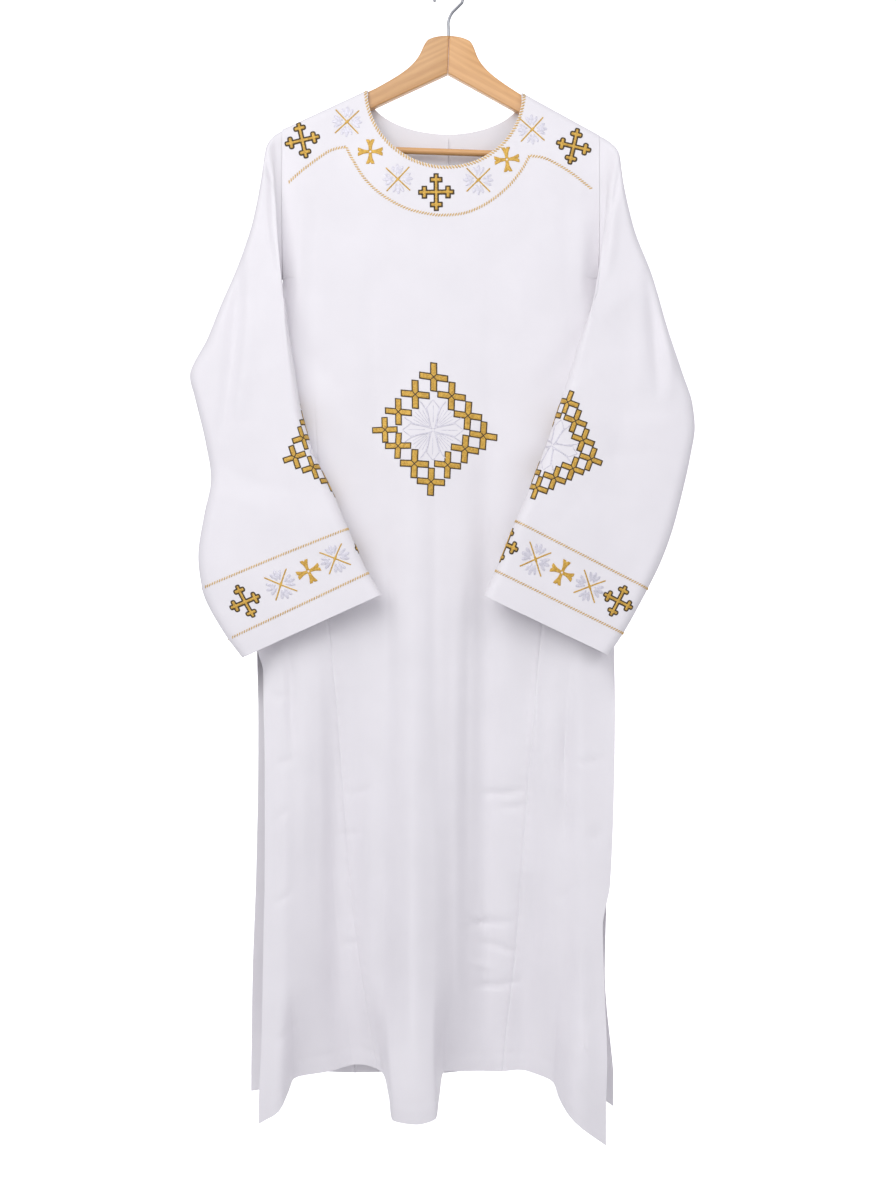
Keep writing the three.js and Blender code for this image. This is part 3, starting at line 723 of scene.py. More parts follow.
def cell_corners(grid, closed=False):
    """The four corners of each cell of a grid, the next row's before the next column's."""
    left = grid if closed else grid[:, :-1]
    right = np.roll(grid, -1, axis=1) if closed else grid[:, 1:]
    return np.stack([left[:-1], left[1:], right[1:], right[:-1]], axis=-1)


def keep_used(faces, count):
    """The points that faces use, and the faces numbered over those alone."""
    used = np.unique(np.concatenate([group.ravel() for group in faces]))
    renumber = np.zeros(count, dtype=np.int64)
    renumber[used] = np.arange(len(used))
    return used, [renumber[group] for group in faces]


def make_mesh(name, points, faces, material, sharp=50):
    """An object of points in millimetres and a list of arrays of faces, riding on the body."""
    faces = [np.asarray(group, dtype=np.int64) for group in faces if len(group)]
    used, faces = keep_used(faces, len(points))
    loops = np.concatenate([group.ravel() for group in faces])
    totals = np.concatenate([np.full(len(group), group.shape[1]) for group in faces])
    starts = np.concatenate([[0], np.cumsum(totals)[:-1]])
    mesh = bpy.data.meshes.new(name)
    mesh.vertices.add(len(used))
    mesh.vertices.foreach_set("co", (np.asarray(points)[used] * MM).astype(np.float32).ravel())
    mesh.loops.add(len(loops))
    mesh.loops.foreach_set("vertex_index", loops.astype(np.int32))
    mesh.polygons.add(len(totals))
    mesh.polygons.foreach_set("loop_start", starts.astype(np.int32))
    mesh.update(calc_edges=True)
    mesh.validate()
    mesh.polygons.foreach_set("use_smooth", np.ones(len(mesh.polygons), dtype=bool))
    mesh.set_sharp_from_angle(angle=math.radians(sharp))
    mesh.materials.append(material)
    piece = bpy.data.objects.new(name, mesh)
    bpy.context.scene.collection.objects.link(piece)
    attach(piece, BODY)
    return piece


def grid_normals(grid, closed, guide=None):
    """Directions out of a grid of points."""
    if closed:
        along = np.roll(grid, -1, axis=1) - np.roll(grid, 1, axis=1)
    else:
        along = np.gradient(grid, axis=1)
    return unit_normals(along, np.gradient(grid, axis=0), guide)


def cloth_piece(name, outer, inner, cells, material, flip, closed=False):
    """A thin closed wall from the chosen cells of an outer grid and its inside."""
    count_r, count_c = outer.shape[:2]
    layer = count_r * count_c
    quads = cell_corners(np.arange(layer).reshape(count_r, count_c), closed)[cells]
    sides = np.concatenate([quads[:, [k, (k + 1) % 4]] for k in range(4)])
    keys = sides[:, 0] * layer + sides[:, 1]
    back_keys = sides[:, 1] * layer + sides[:, 0]
    rim = sides[~np.isin(keys, back_keys)]
    rim_faces = np.stack([rim[:, 1], rim[:, 0], rim[:, 0] + layer, rim[:, 1] + layer], axis=-1)
    faces = [quads, quads[:, ::-1] + layer, rim_faces]
    if flip:
        faces = [group[:, ::-1] for group in faces]
    points = np.concatenate([outer.reshape(-1, 3), inner.reshape(-1, 3)])
    return make_mesh(name, points, faces, material)


def sheet_area(piece):
    """Area of the cloth itself, which is half of its wall's two faces."""
    return sum(polygon.area for polygon in piece.data.polygons) / 2


# ---- Embroidery ----


# Each of these gives the distance from a form's outline, below 0 inside it.


def box_distance(u, v, centre_u, centre_v, half_u, half_v, corner=0.0):
    du = np.abs(u - centre_u) - half_u + corner
    dv = np.abs(v - centre_v) - half_v + corner
    outside = np.hypot(np.maximum(du, 0), np.maximum(dv, 0))
    return outside + np.minimum(np.maximum(du, dv), 0) - corner


def ellipse_distance(u, v, centre_u, centre_v, half_u, half_v, turn=0.0):
    cos, sin = math.cos(turn), math.sin(turn)
    du, dv = u - centre_u, v - centre_v
    along, aside = du * cos + dv * sin, -du * sin + dv * cos
    return (np.hypot(along / half_u, aside / half_v) - 1) * min(half_u, half_v)


def segment_distance(u, v, start, end, half_width):
    run, rise = end[0] - start[0], end[1] - start[1]
    length2 = run * run + rise * rise
    share = np.clip(((u - start[0]) * run + (v - start[1]) * rise) / length2, 0, 1)
    return np.hypot(u - start[0] - share * run, v - start[1] - share * rise) - half_width


def union(*distances):
    result = distances[0]
    for distance in distances[1:]:
        result = np.minimum(result, distance)
    return result


def crosslet_cross(corner, bar_corner):
    """A cross whose arms each end in a small cross bar."""
    def distance(u, v):
        parts = [
            box_distance(u, v, 0, 0, 3.8, 27.5, corner),
            box_distance(u, v, 0, 0, 26.2, 3.8, corner),
        ]
        for sign in (-1, 1):
            parts.append(box_distance(u, v, 0, sign * 18, 9.4, 4.1, bar_corner))
            parts.append(box_distance(u, v, sign * 17, 0, 4.1, 9.4, bar_corner))
        return union(*parts)
    return distance


def plus_cross(half_width, half_height, half_arm):
    def distance(u, v):
        return union(
            box_distance(u, v, 0, 0, half_width, half_arm),
            box_distance(u, v, 0, 0, half_arm, half_height),
        )
    return distance


def plus_stitches(u, v):
    """The small crossed stitches over the middle of a plus cross."""
    return union(
        segment_distance(u, v, (-3.4, -3.4), (3.4, 3.4), 0.7),
        segment_distance(u, v, (-3.4, 3.4), (3.4, -3.4), 0.7),
    )


def quarter_turns(u, v):
    """The same places after each quarter of a turn."""
    for quarter in range(4):
        cos, sin = math.cos(quarter * math.pi / 2), math.sin(quarter * math.pi / 2)
        yield u * cos + v * sin, -u * sin + v * cos


def flared_cross(u, v):
    """A small cross of four flared arms with a nick in each end, round a ring."""
    result = np.abs(np.hypot(u, v) - 2.6) - 1.0
    for along, aside in ((u, v), (-u, v), (v, u), (-v, u)):
        half = 1.9 + 4.0 * smooth_step(3, 18, along) + 0.4 * np.sin(along / 2.4)
        arm = np.maximum(np.abs(aside) - half, np.maximum(2.8 - along, along - 18))
        nick = np.abs(aside) - np.maximum(0, (along - 15.6) * 0.7)
        result = np.minimum(result, np.maximum(arm, -nick))
    return result


def flower_petals(u, v):
    """Four fans of petals, one on each side."""
    parts = []
    for along, aside in quarter_turns(u, v):
        parts.append(ellipse_distance(along, aside, 15.5, 0, 6.6, 2.7))
        for sign in (-1, 1):
            parts.append(ellipse_distance(along, aside, 14.0, sign * 5.2, 5.6, 2.4, sign * 0.5))
            parts.append(ellipse_distance(along, aside, 9.3, sign * 2.6, 3.0, 1.5, sign * 0.25))
    return union(*parts)


def flower_lines(u, v):
    """The two long crossed lines of a flower."""
    return union(
        segment_distance(u, v, (-16.5, -16.5), (16.5, 16.5), 0.95),
        segment_distance(u, v, (-16.5, 16.5), (16.5, -16.5), 0.95),
        segment_distance(u, v, (-2, -2), (2, 2), 1.5),
    )


def rayed_cross_bars(u, v):
    """Outlines of the chest's middle cross, its four pointed petals and its curved arms."""
    parts = []
    petal = [(2.2, 1), (4.0, 9), (7.2, 24), (9.4, 33), (0.6, 44.5)]
    curve = [(5.4, 5.6), (5.9, 13), (7.6, 22), (10.8, 31), (15.6, 38.5), (18.4, 41.5)]
    for aside, along in quarter_turns(u, v):
        for sign in (-1, 1):
            for line, half in ((petal, 0.62), (curve, 0.8)):
                for start, end in zip(line, line[1:]):
                    parts.append(segment_distance(sign * aside, along, start, end, half))
    return union(*parts)


def rayed_cross_rays(u, v):
    """Fine lines that fan out between the arms, and down the petals."""
    parts = []
    for aside, along in quarter_turns(u, v):
        for angle, reach in ((28, 33), (36.5, 36), (45, 37), (53.5, 36), (62, 33)):
            sin, cos = math.sin(math.radians(angle)), math.cos(math.radians(angle))
            start, end = ((sin * far, cos * far) for far in (13, reach))
            parts.append(segment_distance(aside, along, start, end, 0.5))
        parts.append(segment_distance(aside, along, (0.3, 12), (0.5, 36), 0.5))
    return union(*parts)


# How far the rim of a patch goes down into the cloth
PATCH_SINKS = -0.5


def outlined(distance, half, step, outline, heights):
    """The dark patch under an outlined cross, and the smaller gold one over it."""
    under, low, high = heights
    return (
        Patch(distance, half, step, high=under),
        Patch(distance, half, step, inset=outline, low=low, high=high),
    )


class Patch:
    """A flat area of satin stitch, cut along its outline and padded towards its middle."""

    def __init__(self, distance, half, step, inset=0.0, low=0.3, high=0.5, soft=1.4):
        ticks = np.arange(-half - step, half + 1.5 * step, step)
        u, v = np.meshgrid(ticks, ticks, indexing="ij")
        value = distance(u, v) + inset
        value = np.where(np.abs(value) < 1e-6, 1e-6, value)
        inside = value < 0
        whole = cell_corners(inside).all(axis=-1)
        some = cell_corners(inside).any(axis=-1)
        quads = cell_corners(np.arange(u.size).reshape(u.shape))
        polygons = {3: [], 4: list(map(tuple, quads[whole])), 5: [], 6: []}
        flat_u, flat_v, flat_value = u.ravel(), v.ravel(), value.ravel()
        crossings, extra, rims = {}, [], []

        def crossing(a, b):
            key = (min(a, b), max(a, b))
            if key not in crossings:
                low, high = key
                share = flat_value[low] / (flat_value[low] - flat_value[high])
                extra.append([mix(flat[low], flat[high], share) for flat in (flat_u, flat_v)])
                crossings[key] = u.size + len(extra) - 1
            return crossings[key]

        for corners in quads[some & ~whole]:
            polygon, cut = [], []
            for index in range(4):
                a, b = int(corners[index]), int(corners[(index + 1) % 4])
                if flat_value[a] < 0:
                    polygon.append(a)
                if (flat_value[a] < 0) != (flat_value[b] < 0):
                    place = crossing(a, b)
                    polygon.append(place)
                    cut.append((place, flat_value[a] < 0))
            if len(polygon) >= 3:
                polygons[len(polygon)].append(tuple(polygon))
            for index, (place, leaving) in enumerate(cut):
                if leaving:
                    rims.append((place, cut[(index + 1) % len(cut)][0]))
        extra = np.array(extra)
        all_u = np.concatenate([flat_u, extra[:, 0]])
        all_v = np.concatenate([flat_v, extra[:, 1]])
        depth = np.clip(-np.concatenate([flat_value, np.zeros(len(extra))]) / soft, 0, 1)
        height = low + (high - low) * np.sqrt(1 - (1 - depth) ** 2)
        rims = np.array(rims)
        order = np.unique(rims)
        feet = np.zeros(len(all_u), dtype=np.int64)
        feet[order] = len(all_u) + np.arange(len(order))
        walls = np.stack([rims[:, 1], rims[:, 0], feet[rims[:, 0]], feet[rims[:, 1]]], axis=-1)
        faces = [np.array(group) for group in polygons.values() if group]
        used, self.faces = keep_used(faces + [walls], len(all_u) + len(order))
        self.u = np.concatenate([all_u, all_u[order]])[used]
        self.v = np.concatenate([all_v, all_v[order]])[used]
        self.height = np.concatenate([height, np.full(len(order), PATCH_SINKS)])[used]


class Embroidery:
    """Collects patches and stitches that lie on cloth, for one piece of thread work."""

    def __init__(self):
        self.points, self.faces, self.count = [], [], 0

    def add(self, points, faces):
        self.points.append(points)
        self.faces.extend(np.asarray(group) + self.count for group in faces)
        self.count += len(points)

    def patch(self, patch, place, centre, turn=0.0, scale=1.0, slope=0.0, lean=0.0):
        """Lays a patch on the cloth. place gives points and normals for flat places."""
        u = patch.u * scale
        v = patch.v * scale
        u, v = u + v * math.tan(math.radians(lean)), v - u * math.tan(math.radians(slope))
        cos, sin = math.cos(math.radians(turn)), math.sin(math.radians(turn))
        across = centre[0] + u * cos + v * sin
        drop = centre[1] - (v * cos - u * sin)
        points, normals = place(across, drop)
        self.add(points + normals * patch.height[:, None], patch.faces)

    def stitches(self, path, normals, pitch, length, width, height, slant=38):
        """Slanted stitches along a line of points on the cloth."""
        steps = np.linalg.norm(np.diff(path, axis=0), axis=1)
        run = np.concatenate([[0], np.cumsum(steps)])
        places = np.arange(pitch / 2, run[-1], pitch)

        def read(values, at):
            return np.stack([np.interp(at, run, values[:, k]) for k in range(3)], axis=-1)

        centre = read(path, places)
        out = read(normals, places)
        out /= np.linalg.norm(out, axis=1, keepdims=True)
        along = read(path, places + 0.5) - read(path, places - 0.5)
        along /= np.linalg.norm(along, axis=1, keepdims=True)
        aside = np.cross(out, along)
        cos, sin = math.cos(math.radians(90 - slant)), math.sin(math.radians(90 - slant))
        lengthwise = along * cos + aside * sin
        widthwise = np.cross(out, lengthwise)
        corners = []
        for share, half in ((-1.0, 0.25), (-0.6, 0.85), (0.0, 1.0), (0.6, 0.85), (1.0, 0.25)):
            middle = centre + lengthwise * (share * length / 2)
            top = height * (0.35 + 0.65 * math.cos(share * 1.3))
            foot, shoulder = widthwise * (half * width / 2), widthwise * (half * width / 3.4)
            corners += [
                middle - foot - out * 0.4, middle - shoulder + out * top * 0.8,
                middle + shoulder + out * top * 0.8, middle + foot - out * 0.4,
            ]
        block = np.stack(corners, axis=1)
        number = np.arange(20).reshape(5, 4)
        quads = np.concatenate([cell_corners(number).reshape(-1, 4), number[:1], number[-1:, ::-1]])
        base = np.arange(len(places))[:, None, None] * number.size
        faces = (base + quads[None]).reshape(-1, 4)
        self.add(block.reshape(-1, 3), [faces])

    def piece(self, name, material, finish):
        grouped = {}
        for group in self.faces:
            grouped.setdefault(group.shape[1], []).append(group)
        faces = [np.concatenate(groups) for groups in grouped.values()]
        piece = make_mesh(name, np.concatenate(self.points), faces, material, sharp=60)
        return piece


def thread_pieces(area, gold, dark, silver, cord=None):
    """The pieces of one area's embroidery, one for each thread."""
    pieces = [
        gold.piece(f"{area}_gold", finish_of("gold_thread"), "gold_thread"),
        dark.piece(f"{area}_outlines", finish_of("dark_thread"), "dark_thread"),
        silver.piece(f"{area}_silver", finish_of("silver_thread"), "silver_thread"),
    ]
    if cord is not None:
        pieces.append(cord.piece(f"{area}_lines", finish_of("gold_cord"), "gold_thread"))
    return pieces


def curve_through(points, step, corner_rows=()):
    """Evenly spaced places on a smooth line through the given ones, sharp at the corner rows."""
    points = np.asarray(points, float)
    breaks = [0, *corner_rows, len(points) - 1]
    result = []
    for first, last in zip(breaks, breaks[1:]):
        part = points[first:last + 1]
        padded = np.vstack([2 * part[0] - part[1], part, 2 * part[-1] - part[-2]])
        for row in range(1, len(padded) - 2):
            before, start, end, after = padded[row - 1:row + 3]
            count = max(2, int(np.linalg.norm(end - start) / step))
            t = np.linspace(0, 1, count, endpoint=False)[:, None]
            result.append(0.5 * (
                2 * start + (end - before) * t
                + (2 * before - 5 * start + 4 * end - after) * t**2
                + (3 * start - before - 3 * end + after) * t**3
            ))
    result.append(points[-1:])
    return np.vstack(result)


# ---- Shaders ----


class Number:
    """A socket that carries a number, so that shader maths reads as plain sums."""

    def __init__(self, shader, socket):
        self.shader = shader
        self.socket = socket

    def maths(self, operation, *values):
        node = self.shader.node("ShaderNodeMath", {"operation": operation}, dict(enumerate(values)))
        return Number(self.shader, node.outputs[0])

    def __add__(self, other):
        return self.maths("ADD", self, other)

    def __sub__(self, other):
        return self.maths("SUBTRACT", self, other)

    def __rsub__(self, other):
        return self.maths("SUBTRACT", other, self)

    def __mul__(self, other):
        return self.maths("MULTIPLY", self, other)

    __radd__ = __add__
    __rmul__ = __mul__

    def sine(self):
        return self.maths("SINE", self)

    def between(self, low, high):
        """0 below low, 1 above high and a straight run between them."""
        ranged = self.shader.node(
            "ShaderNodeMapRange", {"clamp": True},
            {"Value": self, "From Min": low, "From Max": high},
        )
        return Number(self.shader, ranged.outputs["Result"])


class Shader:
    """A material on one Principled shader."""

    def __init__(self, name, **sockets):
        self.material = bpy.data.materials.new(name)
        self.material.use_nodes = True
        self.tree = self.material.node_tree
        self.surface = self.tree.nodes["Principled BSDF"]
        for socket, value in sockets.items():
            self.surface.inputs[socket.replace("_", " ")].default_value = value
        self.place = self.node("ShaderNodeTexCoord").outputs["Object"]

    def node(self, kind, settings=None, inputs=None):
        node = self.tree.nodes.new(kind)
        for setting, value in (settings or {}).items():
            setattr(node, setting, value)
        for key, value in (inputs or {}).items():
            self.feed(node.inputs[key], value)
        return node

    def feed(self, target, value):
        if isinstance(value, Number):
            value = value.socket
        if isinstance(value, bpy.types.NodeSocket):
            self.tree.links.new(value, target)
        else:
            target.default_value = value

    def set(self, socket, value):
        self.feed(self.surface.inputs[socket], value)

    def turned(self, rotation, scale=(1, 1, 1)):
        mapping = self.node(
            "ShaderNodeMapping", {"vector_type": "POINT"},
            {"Vector": self.place, "Rotation": rotation},
        )
        stretched = self.node("ShaderNodeVectorMath", {"operation": "MULTIPLY"})
        self.feed(stretched.inputs[0], mapping.outputs["Vector"])
        self.feed(stretched.inputs[1], scale)
        return stretched.outputs[0]

    def noise(self, scale, detail=2.0, rough=0.5, place=None):
        node = self.node(
            "ShaderNodeTexNoise", None,
            {"Vector": place or self.place, "Scale": scale, "Detail": detail, "Roughness": rough},
        )
        return Number(self, node.outputs["Fac"])

    def axes(self, place=None):
        node = self.node("ShaderNodeSeparateXYZ", None, {"Vector": place or self.place})
        return [Number(self, node.outputs[axis]) for axis in "XYZ"]

    def colours(self, share, first, second):
        node = self.node("ShaderNodeMix", {"data_type": "RGBA", "blend_type": "MIX"})
        inputs = [socket for socket in node.inputs if socket.enabled]
        self.feed(inputs[0], share)
        self.feed(inputs[1], (*first, 1))
        self.feed(inputs[2], (*second, 1))
        return next(socket for socket in node.outputs if socket.enabled)

    def bump(self, height, depth, strength=1.0):
        node = self.node(
            "ShaderNodeBump", None, {"Height": height, "Distance": depth, "Strength": strength}
        )
        self.set("Normal", node.outputs["Normal"])


def dimmed(colour, share):
    return tuple(part * share for part in colour)


# Turns of the ribs and strands in a metre, in radians, and the strands' slope
TWILL_RIBS = 5200
STRANDS = 4200
STRAND_SLOPE = 0.7


def cloth_shader(name, colour):
    """White twill with a soft sheen."""
    shader = Shader(
        name, Roughness=0.62, Sheen_Weight=0.12, Sheen_Roughness=0.5, Specular_IOR_Level=0.35
    )
    across, out, up = shader.axes()
    along = (across + out * 0.6) * TWILL_RIBS
    twill = (along + up * TWILL_RIBS).sine() * 0.5 + 0.5
    yarn = (along - up * 3100).sine() * 0.5 + 0.5
    slub = shader.noise(900, 3, 0.6)
    cloudy = shader.noise(14, 2)
    mottled = (cloudy * 0.7 + slub * 0.3).between(0.35, 0.65)
    shader.set("Base Color", shader.colours(mottled, dimmed(colour, 0.965), colour))
    shader.set("Roughness", 0.56 + slub * 0.14)
    shader.bump(twill * 0.7 + yarn * 0.3 + slub * 0.6, 0.00008, 0.5)
    return shader.material


def thread_shader(name, light, dark, metallic, roughness):
    """Embroidery thread: close parallel strands with uneven tone."""
    shader = Shader(name, Metallic=metallic, Roughness=roughness, Specular_IOR_Level=0.5)
    across, out, up = shader.axes()
    sideways, upwards = STRANDS * math.cos(STRAND_SLOPE), STRANDS * math.sin(STRAND_SLOPE)
    strands = (across * sideways + up * upwards + out * STRANDS).sine()
    speck = shader.noise(430, 3, 0.7)
    tone = shader.noise(150, 2)
    share = (strands * 0.14 + speck * 0.95 + tone * 0.3).between(0.46, 0.76)
    shader.set("Base Color", shader.colours(share, dark, light))
    shader.set("Roughness", roughness - 0.1 + speck * 0.2)
    shader.bump(strands * 0.5 + speck * 0.8, 0.00022, 0.6)
    return shader.material


def wood_shader(name, light, dark, turn):
    """Varnished beech with its grain along the piece."""
    shader = Shader(name, Roughness=0.42, Coat_Weight=0.35, Coat_Roughness=0.22)
    along = shader.turned((0, turn, 0), (5, 60, 60))
    wavy = shader.noise(1.6, 3, 0.55, along)
    rings = shader.node(
        "ShaderNodeTexWave", {"wave_type": "BANDS", "bands_direction": "Z"},
        {"Vector": along, "Scale": 0.55, "Distortion": 9.0, "Detail": 3.0, "Detail Scale": 0.8},
    )
    grain = Number(shader, rings.outputs["Fac"])
    fleck = shader.noise(22, 4, 0.6, shader.turned((0, turn, 0), (2, 30, 30)))
    share = (grain * 0.22 + wavy * 0.5 + fleck * 0.4).between(0.26, 0.86)
    shader.set("Base Color", shader.colours(share, dark, light))
    shader.set("Roughness", 0.36 + fleck * 0.16)
    shader.bump(grain * 0.4 + fleck * 0.6, 0.0002, 0.35)
    return shader.material


def steel_shader(name, colour):
    """Bright plated wire with faint drawing marks."""
    shader = Shader(name, Metallic=1.0, Roughness=0.22)
    marks = shader.noise(900, 3, 0.6, shader.turned((0, 0, 0), (1, 1, 0.08)))
    tone = shader.noise(60, 2)
    shader.set("Base Color", shader.colours(tone, dimmed(colour, 0.88), colour))
    shader.set("Roughness", 0.16 + marks * 0.16)
    shader.bump(marks, 0.00005, 0.3)
    return shader.material


# ---- Settings ----


def length_property(name, description, default, low, high):
    return FloatProperty(
        name=name, description=description, default=default, min=low, max=high, unit="LENGTH"
    )


def power_property(name, description, default):
    return FloatProperty(
        name=name, description=description, default=default, min=0, unit="POWER"
    )


class TunicSizes(PropertyGroup):
    wall: length_property(
        "Cloth thickness", "Thickness of the cloth wall", 0.0016, 0.0005, 0.003
    )
    cell: length_property(
        "Cloth cell", "Width of one cell of the cloth's mesh", 0.005, 0.003, 0.02
    )
    stitch_height: length_property(
        "Stitch height", "How far the line stitches stand out of the cloth", 0.0011, 0.0003, 0.002
    )
    outline: length_property(
        "Outline width", "Width of the dark outline round the crosses", 0.0021, 0.0005, 0.003
    )


def colour_property(name, description, default):
    return FloatVectorProperty(
        name=name, description=description, default=default, subtype="COLOR", min=0, max=1
    )


class TunicColours(PropertyGroup):
    cloth: colour_property("Cloth", "White of the twill", (0.86, 0.84, 0.864))
    gold: colour_property("Gold thread", "Gold of the crosses", (0.80, 0.50, 0.085))
    gold_dark: colour_property("Gold shade", "Darker strands of the gold", (0.42, 0.22, 0.025))
    cord: colour_property("Line thread", "Gold of the edge and line stitches", (0.83, 0.59, 0.25))
    cord_dark: colour_property("Line shade", "Darker strands of the lines", (0.50, 0.30, 0.09))
    outline: colour_property(
        "Outline thread", "Dark thread round the crosses", (0.075, 0.045, 0.012)
    )
    silver: colour_property("Silver thread", "Silver of the flowers", (0.80, 0.78, 0.84))
    silver_dark: colour_property("Silver shade", "Darker silver strands", (0.56, 0.55, 0.62))
    wood: colour_property("Beech", "Light tone of the hanger", (0.80, 0.46, 0.19))
    wood_dark: colour_property("Beech grain", "Dark tone of the grain", (0.60, 0.30, 0.105))
    steel: colour_property("Wire", "Plated steel wire", (0.30, 0.31, 0.33))


class StudioSettings(PropertyGroup):
    key_power: power_property("Key light", "Power of the large front light", 42.0)
    side_power: power_property("Side light", "Power of the light from the right", 10.0)
    back_power: power_property(
        "Back light", "Power of the light behind, for views of the back", 9.0
    )
    sky: FloatProperty(
        name="Room light", description="Strength of the even light all round",
        default=0.55, min=0,
    )
    camera_distance: FloatProperty(
        name="Camera distance", description="From the camera to the hanger's plane",
        default=2.3, min=0.5, unit="LENGTH",
    )


FINISHES = {
    # the shader, its colours with how far each is dimmed, and its other values
    "white_cloth": (cloth_shader, [("cloth", 1)], ()),
    "gold_thread": (thread_shader, [("gold", 1), ("gold_dark", 1)], (0.25, 0.45)),
    "gold_cord": (thread_shader, [("cord", 1), ("cord_dark", 1)], (0.2, 0.5)),
    "dark_thread": (thread_shader, [("outline", 1), ("outline", 0.5)], (0.0, 0.6)),
    "silver_thread": (thread_shader, [("silver", 1), ("silver_dark", 1)], (0.3, 0.45)),
    "beech_left": (wood_shader, [("wood", 0.86), ("wood_dark", 0.86)], (math.radians(25),)),
    "beech_right": (wood_shader, [("wood", 1), ("wood_dark", 1)], (math.radians(-29),)),
    "beech_bar": (wood_shader, [("wood", 1), ("wood_dark", 1)], (math.radians(-2),)),
    "steel_wire": (steel_shader, [("steel", 1)], ()),
}
MATERIALS = {}


def finish_of(name):
    """The material of one finish, made once."""
    if name not in MATERIALS:
        shader, picked, values = FINISHES[name]
        colours = bpy.context.scene.tunic_colours
        tones = [dimmed(getattr(colours, key), share) for key, share in picked]
        MATERIALS[name] = shader(name, *tones, *values)
    return MATERIALS[name]


# ---- The pieces ----

FRONT = BodySide("front", FRONT_LINES, FRONT_HEM, FRONT_DRAPE, FRONT_CREASES, FRONT_NECK_DEPTH)
BACK = BodySide("back", BACK_LINES, BACK_HEM, BACK_HEM, BACK_CREASES, BACK_NECK_DEPTH)
SLEEVES = {
    "left": Sleeve(LEFT_SLEEVE, LEFT_SLEEVE_CREASES),
    "right": Sleeve(RIGHT_SLEEVE, RIGHT_SLEEVE_CREASES),
}
ON_CLOTH = {name: [] for name in ("front_panel", "back_left", "back_right", "left", "right")}


def body_rows(cell):
    """Rows down the body as (zone, share): shoulder to armhole, to slit top, to hem."""
    height = ARMHOLE_DROP - float(ridge_drop(np.array(ARMHOLE_LEFT)))
    steps = np.array([0, 0.4, 1.0, 1.9, 3.1, 4.6, 6.4, 8.5, 10.6, SHOULDER_ROUND]) / height
    middle = np.linspace(steps[-1], 1 - steps[-1], int(height / cell))[1:-1]
    rows = [(0, share) for share in (*steps, *middle, *(1 - steps[::-1]))]
    rows.append((1, SEAM_OPENING / (SLIT_TOP_DROP - ARMHOLE_DROP)))
    for zone, fall in ((1, SLIT_TOP_DROP - ARMHOLE_DROP), (2, HEM_DROP - SLIT_TOP_DROP)):
        rows.extend((zone, share) for share in np.linspace(0, 1, int(fall / cell) + 1)[1:])
    return rows


def seam_columns(panel, width, cell, start=True, end=True, inner=None):
    """Columns of one panel as (panel, share), closer together beside its seams."""
    near = np.array([0, 0.7, 1.5, 2.6, 4.2, 6.5, 9.5]) / width
    shares = list(inner) if inner is not None else list(np.linspace(0, 1, int(width / cell)))
    low = near[-1] if start else -1
    high = 1 - near[-1] if end else 2
    shares = [share for share in shares if low < share < high]
    if start:
        shares.extend(near)
    if end:
        shares.extend(1 - near)
    return [(panel, share) for share in sorted(set(round(float(share), 7) for share in shares))]


def neck_shares(left_share, right_share, cell_share, count):
    """Shares across a piece, closer together where the neck's edge drops steeply."""
    turn = np.linspace(0, math.pi, count)
    neck = left_share + (right_share - left_share) * (0.5 - 0.5 * np.cos(turn))
    left = np.arange(0, left_share, cell_share)
    right = np.arange(right_share + cell_share / 2, 1, cell_share)
    return np.concatenate([left, neck, right, [1]])


def side_walls(side, columns, rows, wall):
    """The outer and inner points of one side's cloth, and the row at the armhole's end."""
    outer = side.grid(columns, rows)
    normals = grid_normals(outer, False, (0, side.outward, 0))
    shoulder = np.abs(outer[0, :, 1]) < SEAM_GAP
    normals[0, shoulder, 1] = 0
    armhole = sum(1 for zone, _ in rows if zone == 0) - 1
    slit = sum(1 for zone, _ in rows if zone < 2) - 1
    for column, sign in ((0, -1), (-1, 1)):
        normals[:armhole, column, 0] = 0
        normals[armhole:slit + 1, column] = (sign, 0, 0)
    for row in (armhole, armhole + 1):
        normals[row, :, 2] = 0
    lengths = np.linalg.norm(normals, axis=-1, keepdims=True)
    normals = normals / np.where(lengths < 1e-9, 1, lengths)
    return outer, outer - normals * wall, armhole


def declare_cloth(piece, width, length, rests_on, replaced, with_pieces=()):
    """Hides the CAD node that a cloth piece stands for, and works out the cloth's share of its flat
    cut.
    """
    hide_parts(replaced)
    area = sheet_area(piece)
    share = min(1.0, max(0.31, area / (width * length)))
    width * length * share


BODY_PIECES = {
    # its part of the width, the parts it spans above the armhole, its flat size in metres and
    # what it rests on
    "front_panel": (1, (0, 3), 0.50, 1.47, ("hanger_arm_left", "hanger_arm_right")),
    "front_gore_left": (0, None, 0.25, 1.22, ("front_panel_cloth",)),
    "front_gore_right": (2, None, 0.24, 1.25, ("front_panel_cloth",)),
    "back_left": (1, (0, 2), 0.27, 1.48, ("hanger_arm_left", "front_panel_cloth")),
    "back_right": (2, (2, 4), 0.25, 1.48, ("hanger_arm_right", "front_panel_cloth")),
    "back_gore_left": (0, None, 0.19, 1.21, ("back_left_cloth",)),
    "back_gore_right": (3, None, 0.20, 1.24, ("back_right_cloth",)),
}
# Widths of the mesh's cells in millimetres, shares of the set cell, and columns at the neck
FRONT_GORE_CELL = 2.6
BACK_GORE_CELL = 3.6
BACK_PANEL_CELL = 5
BESIDE_NECK = 0.7
BACK_COARSER = 1.3
NECK_COLUMNS = 74
HALF_NECK_COLUMNS = 26


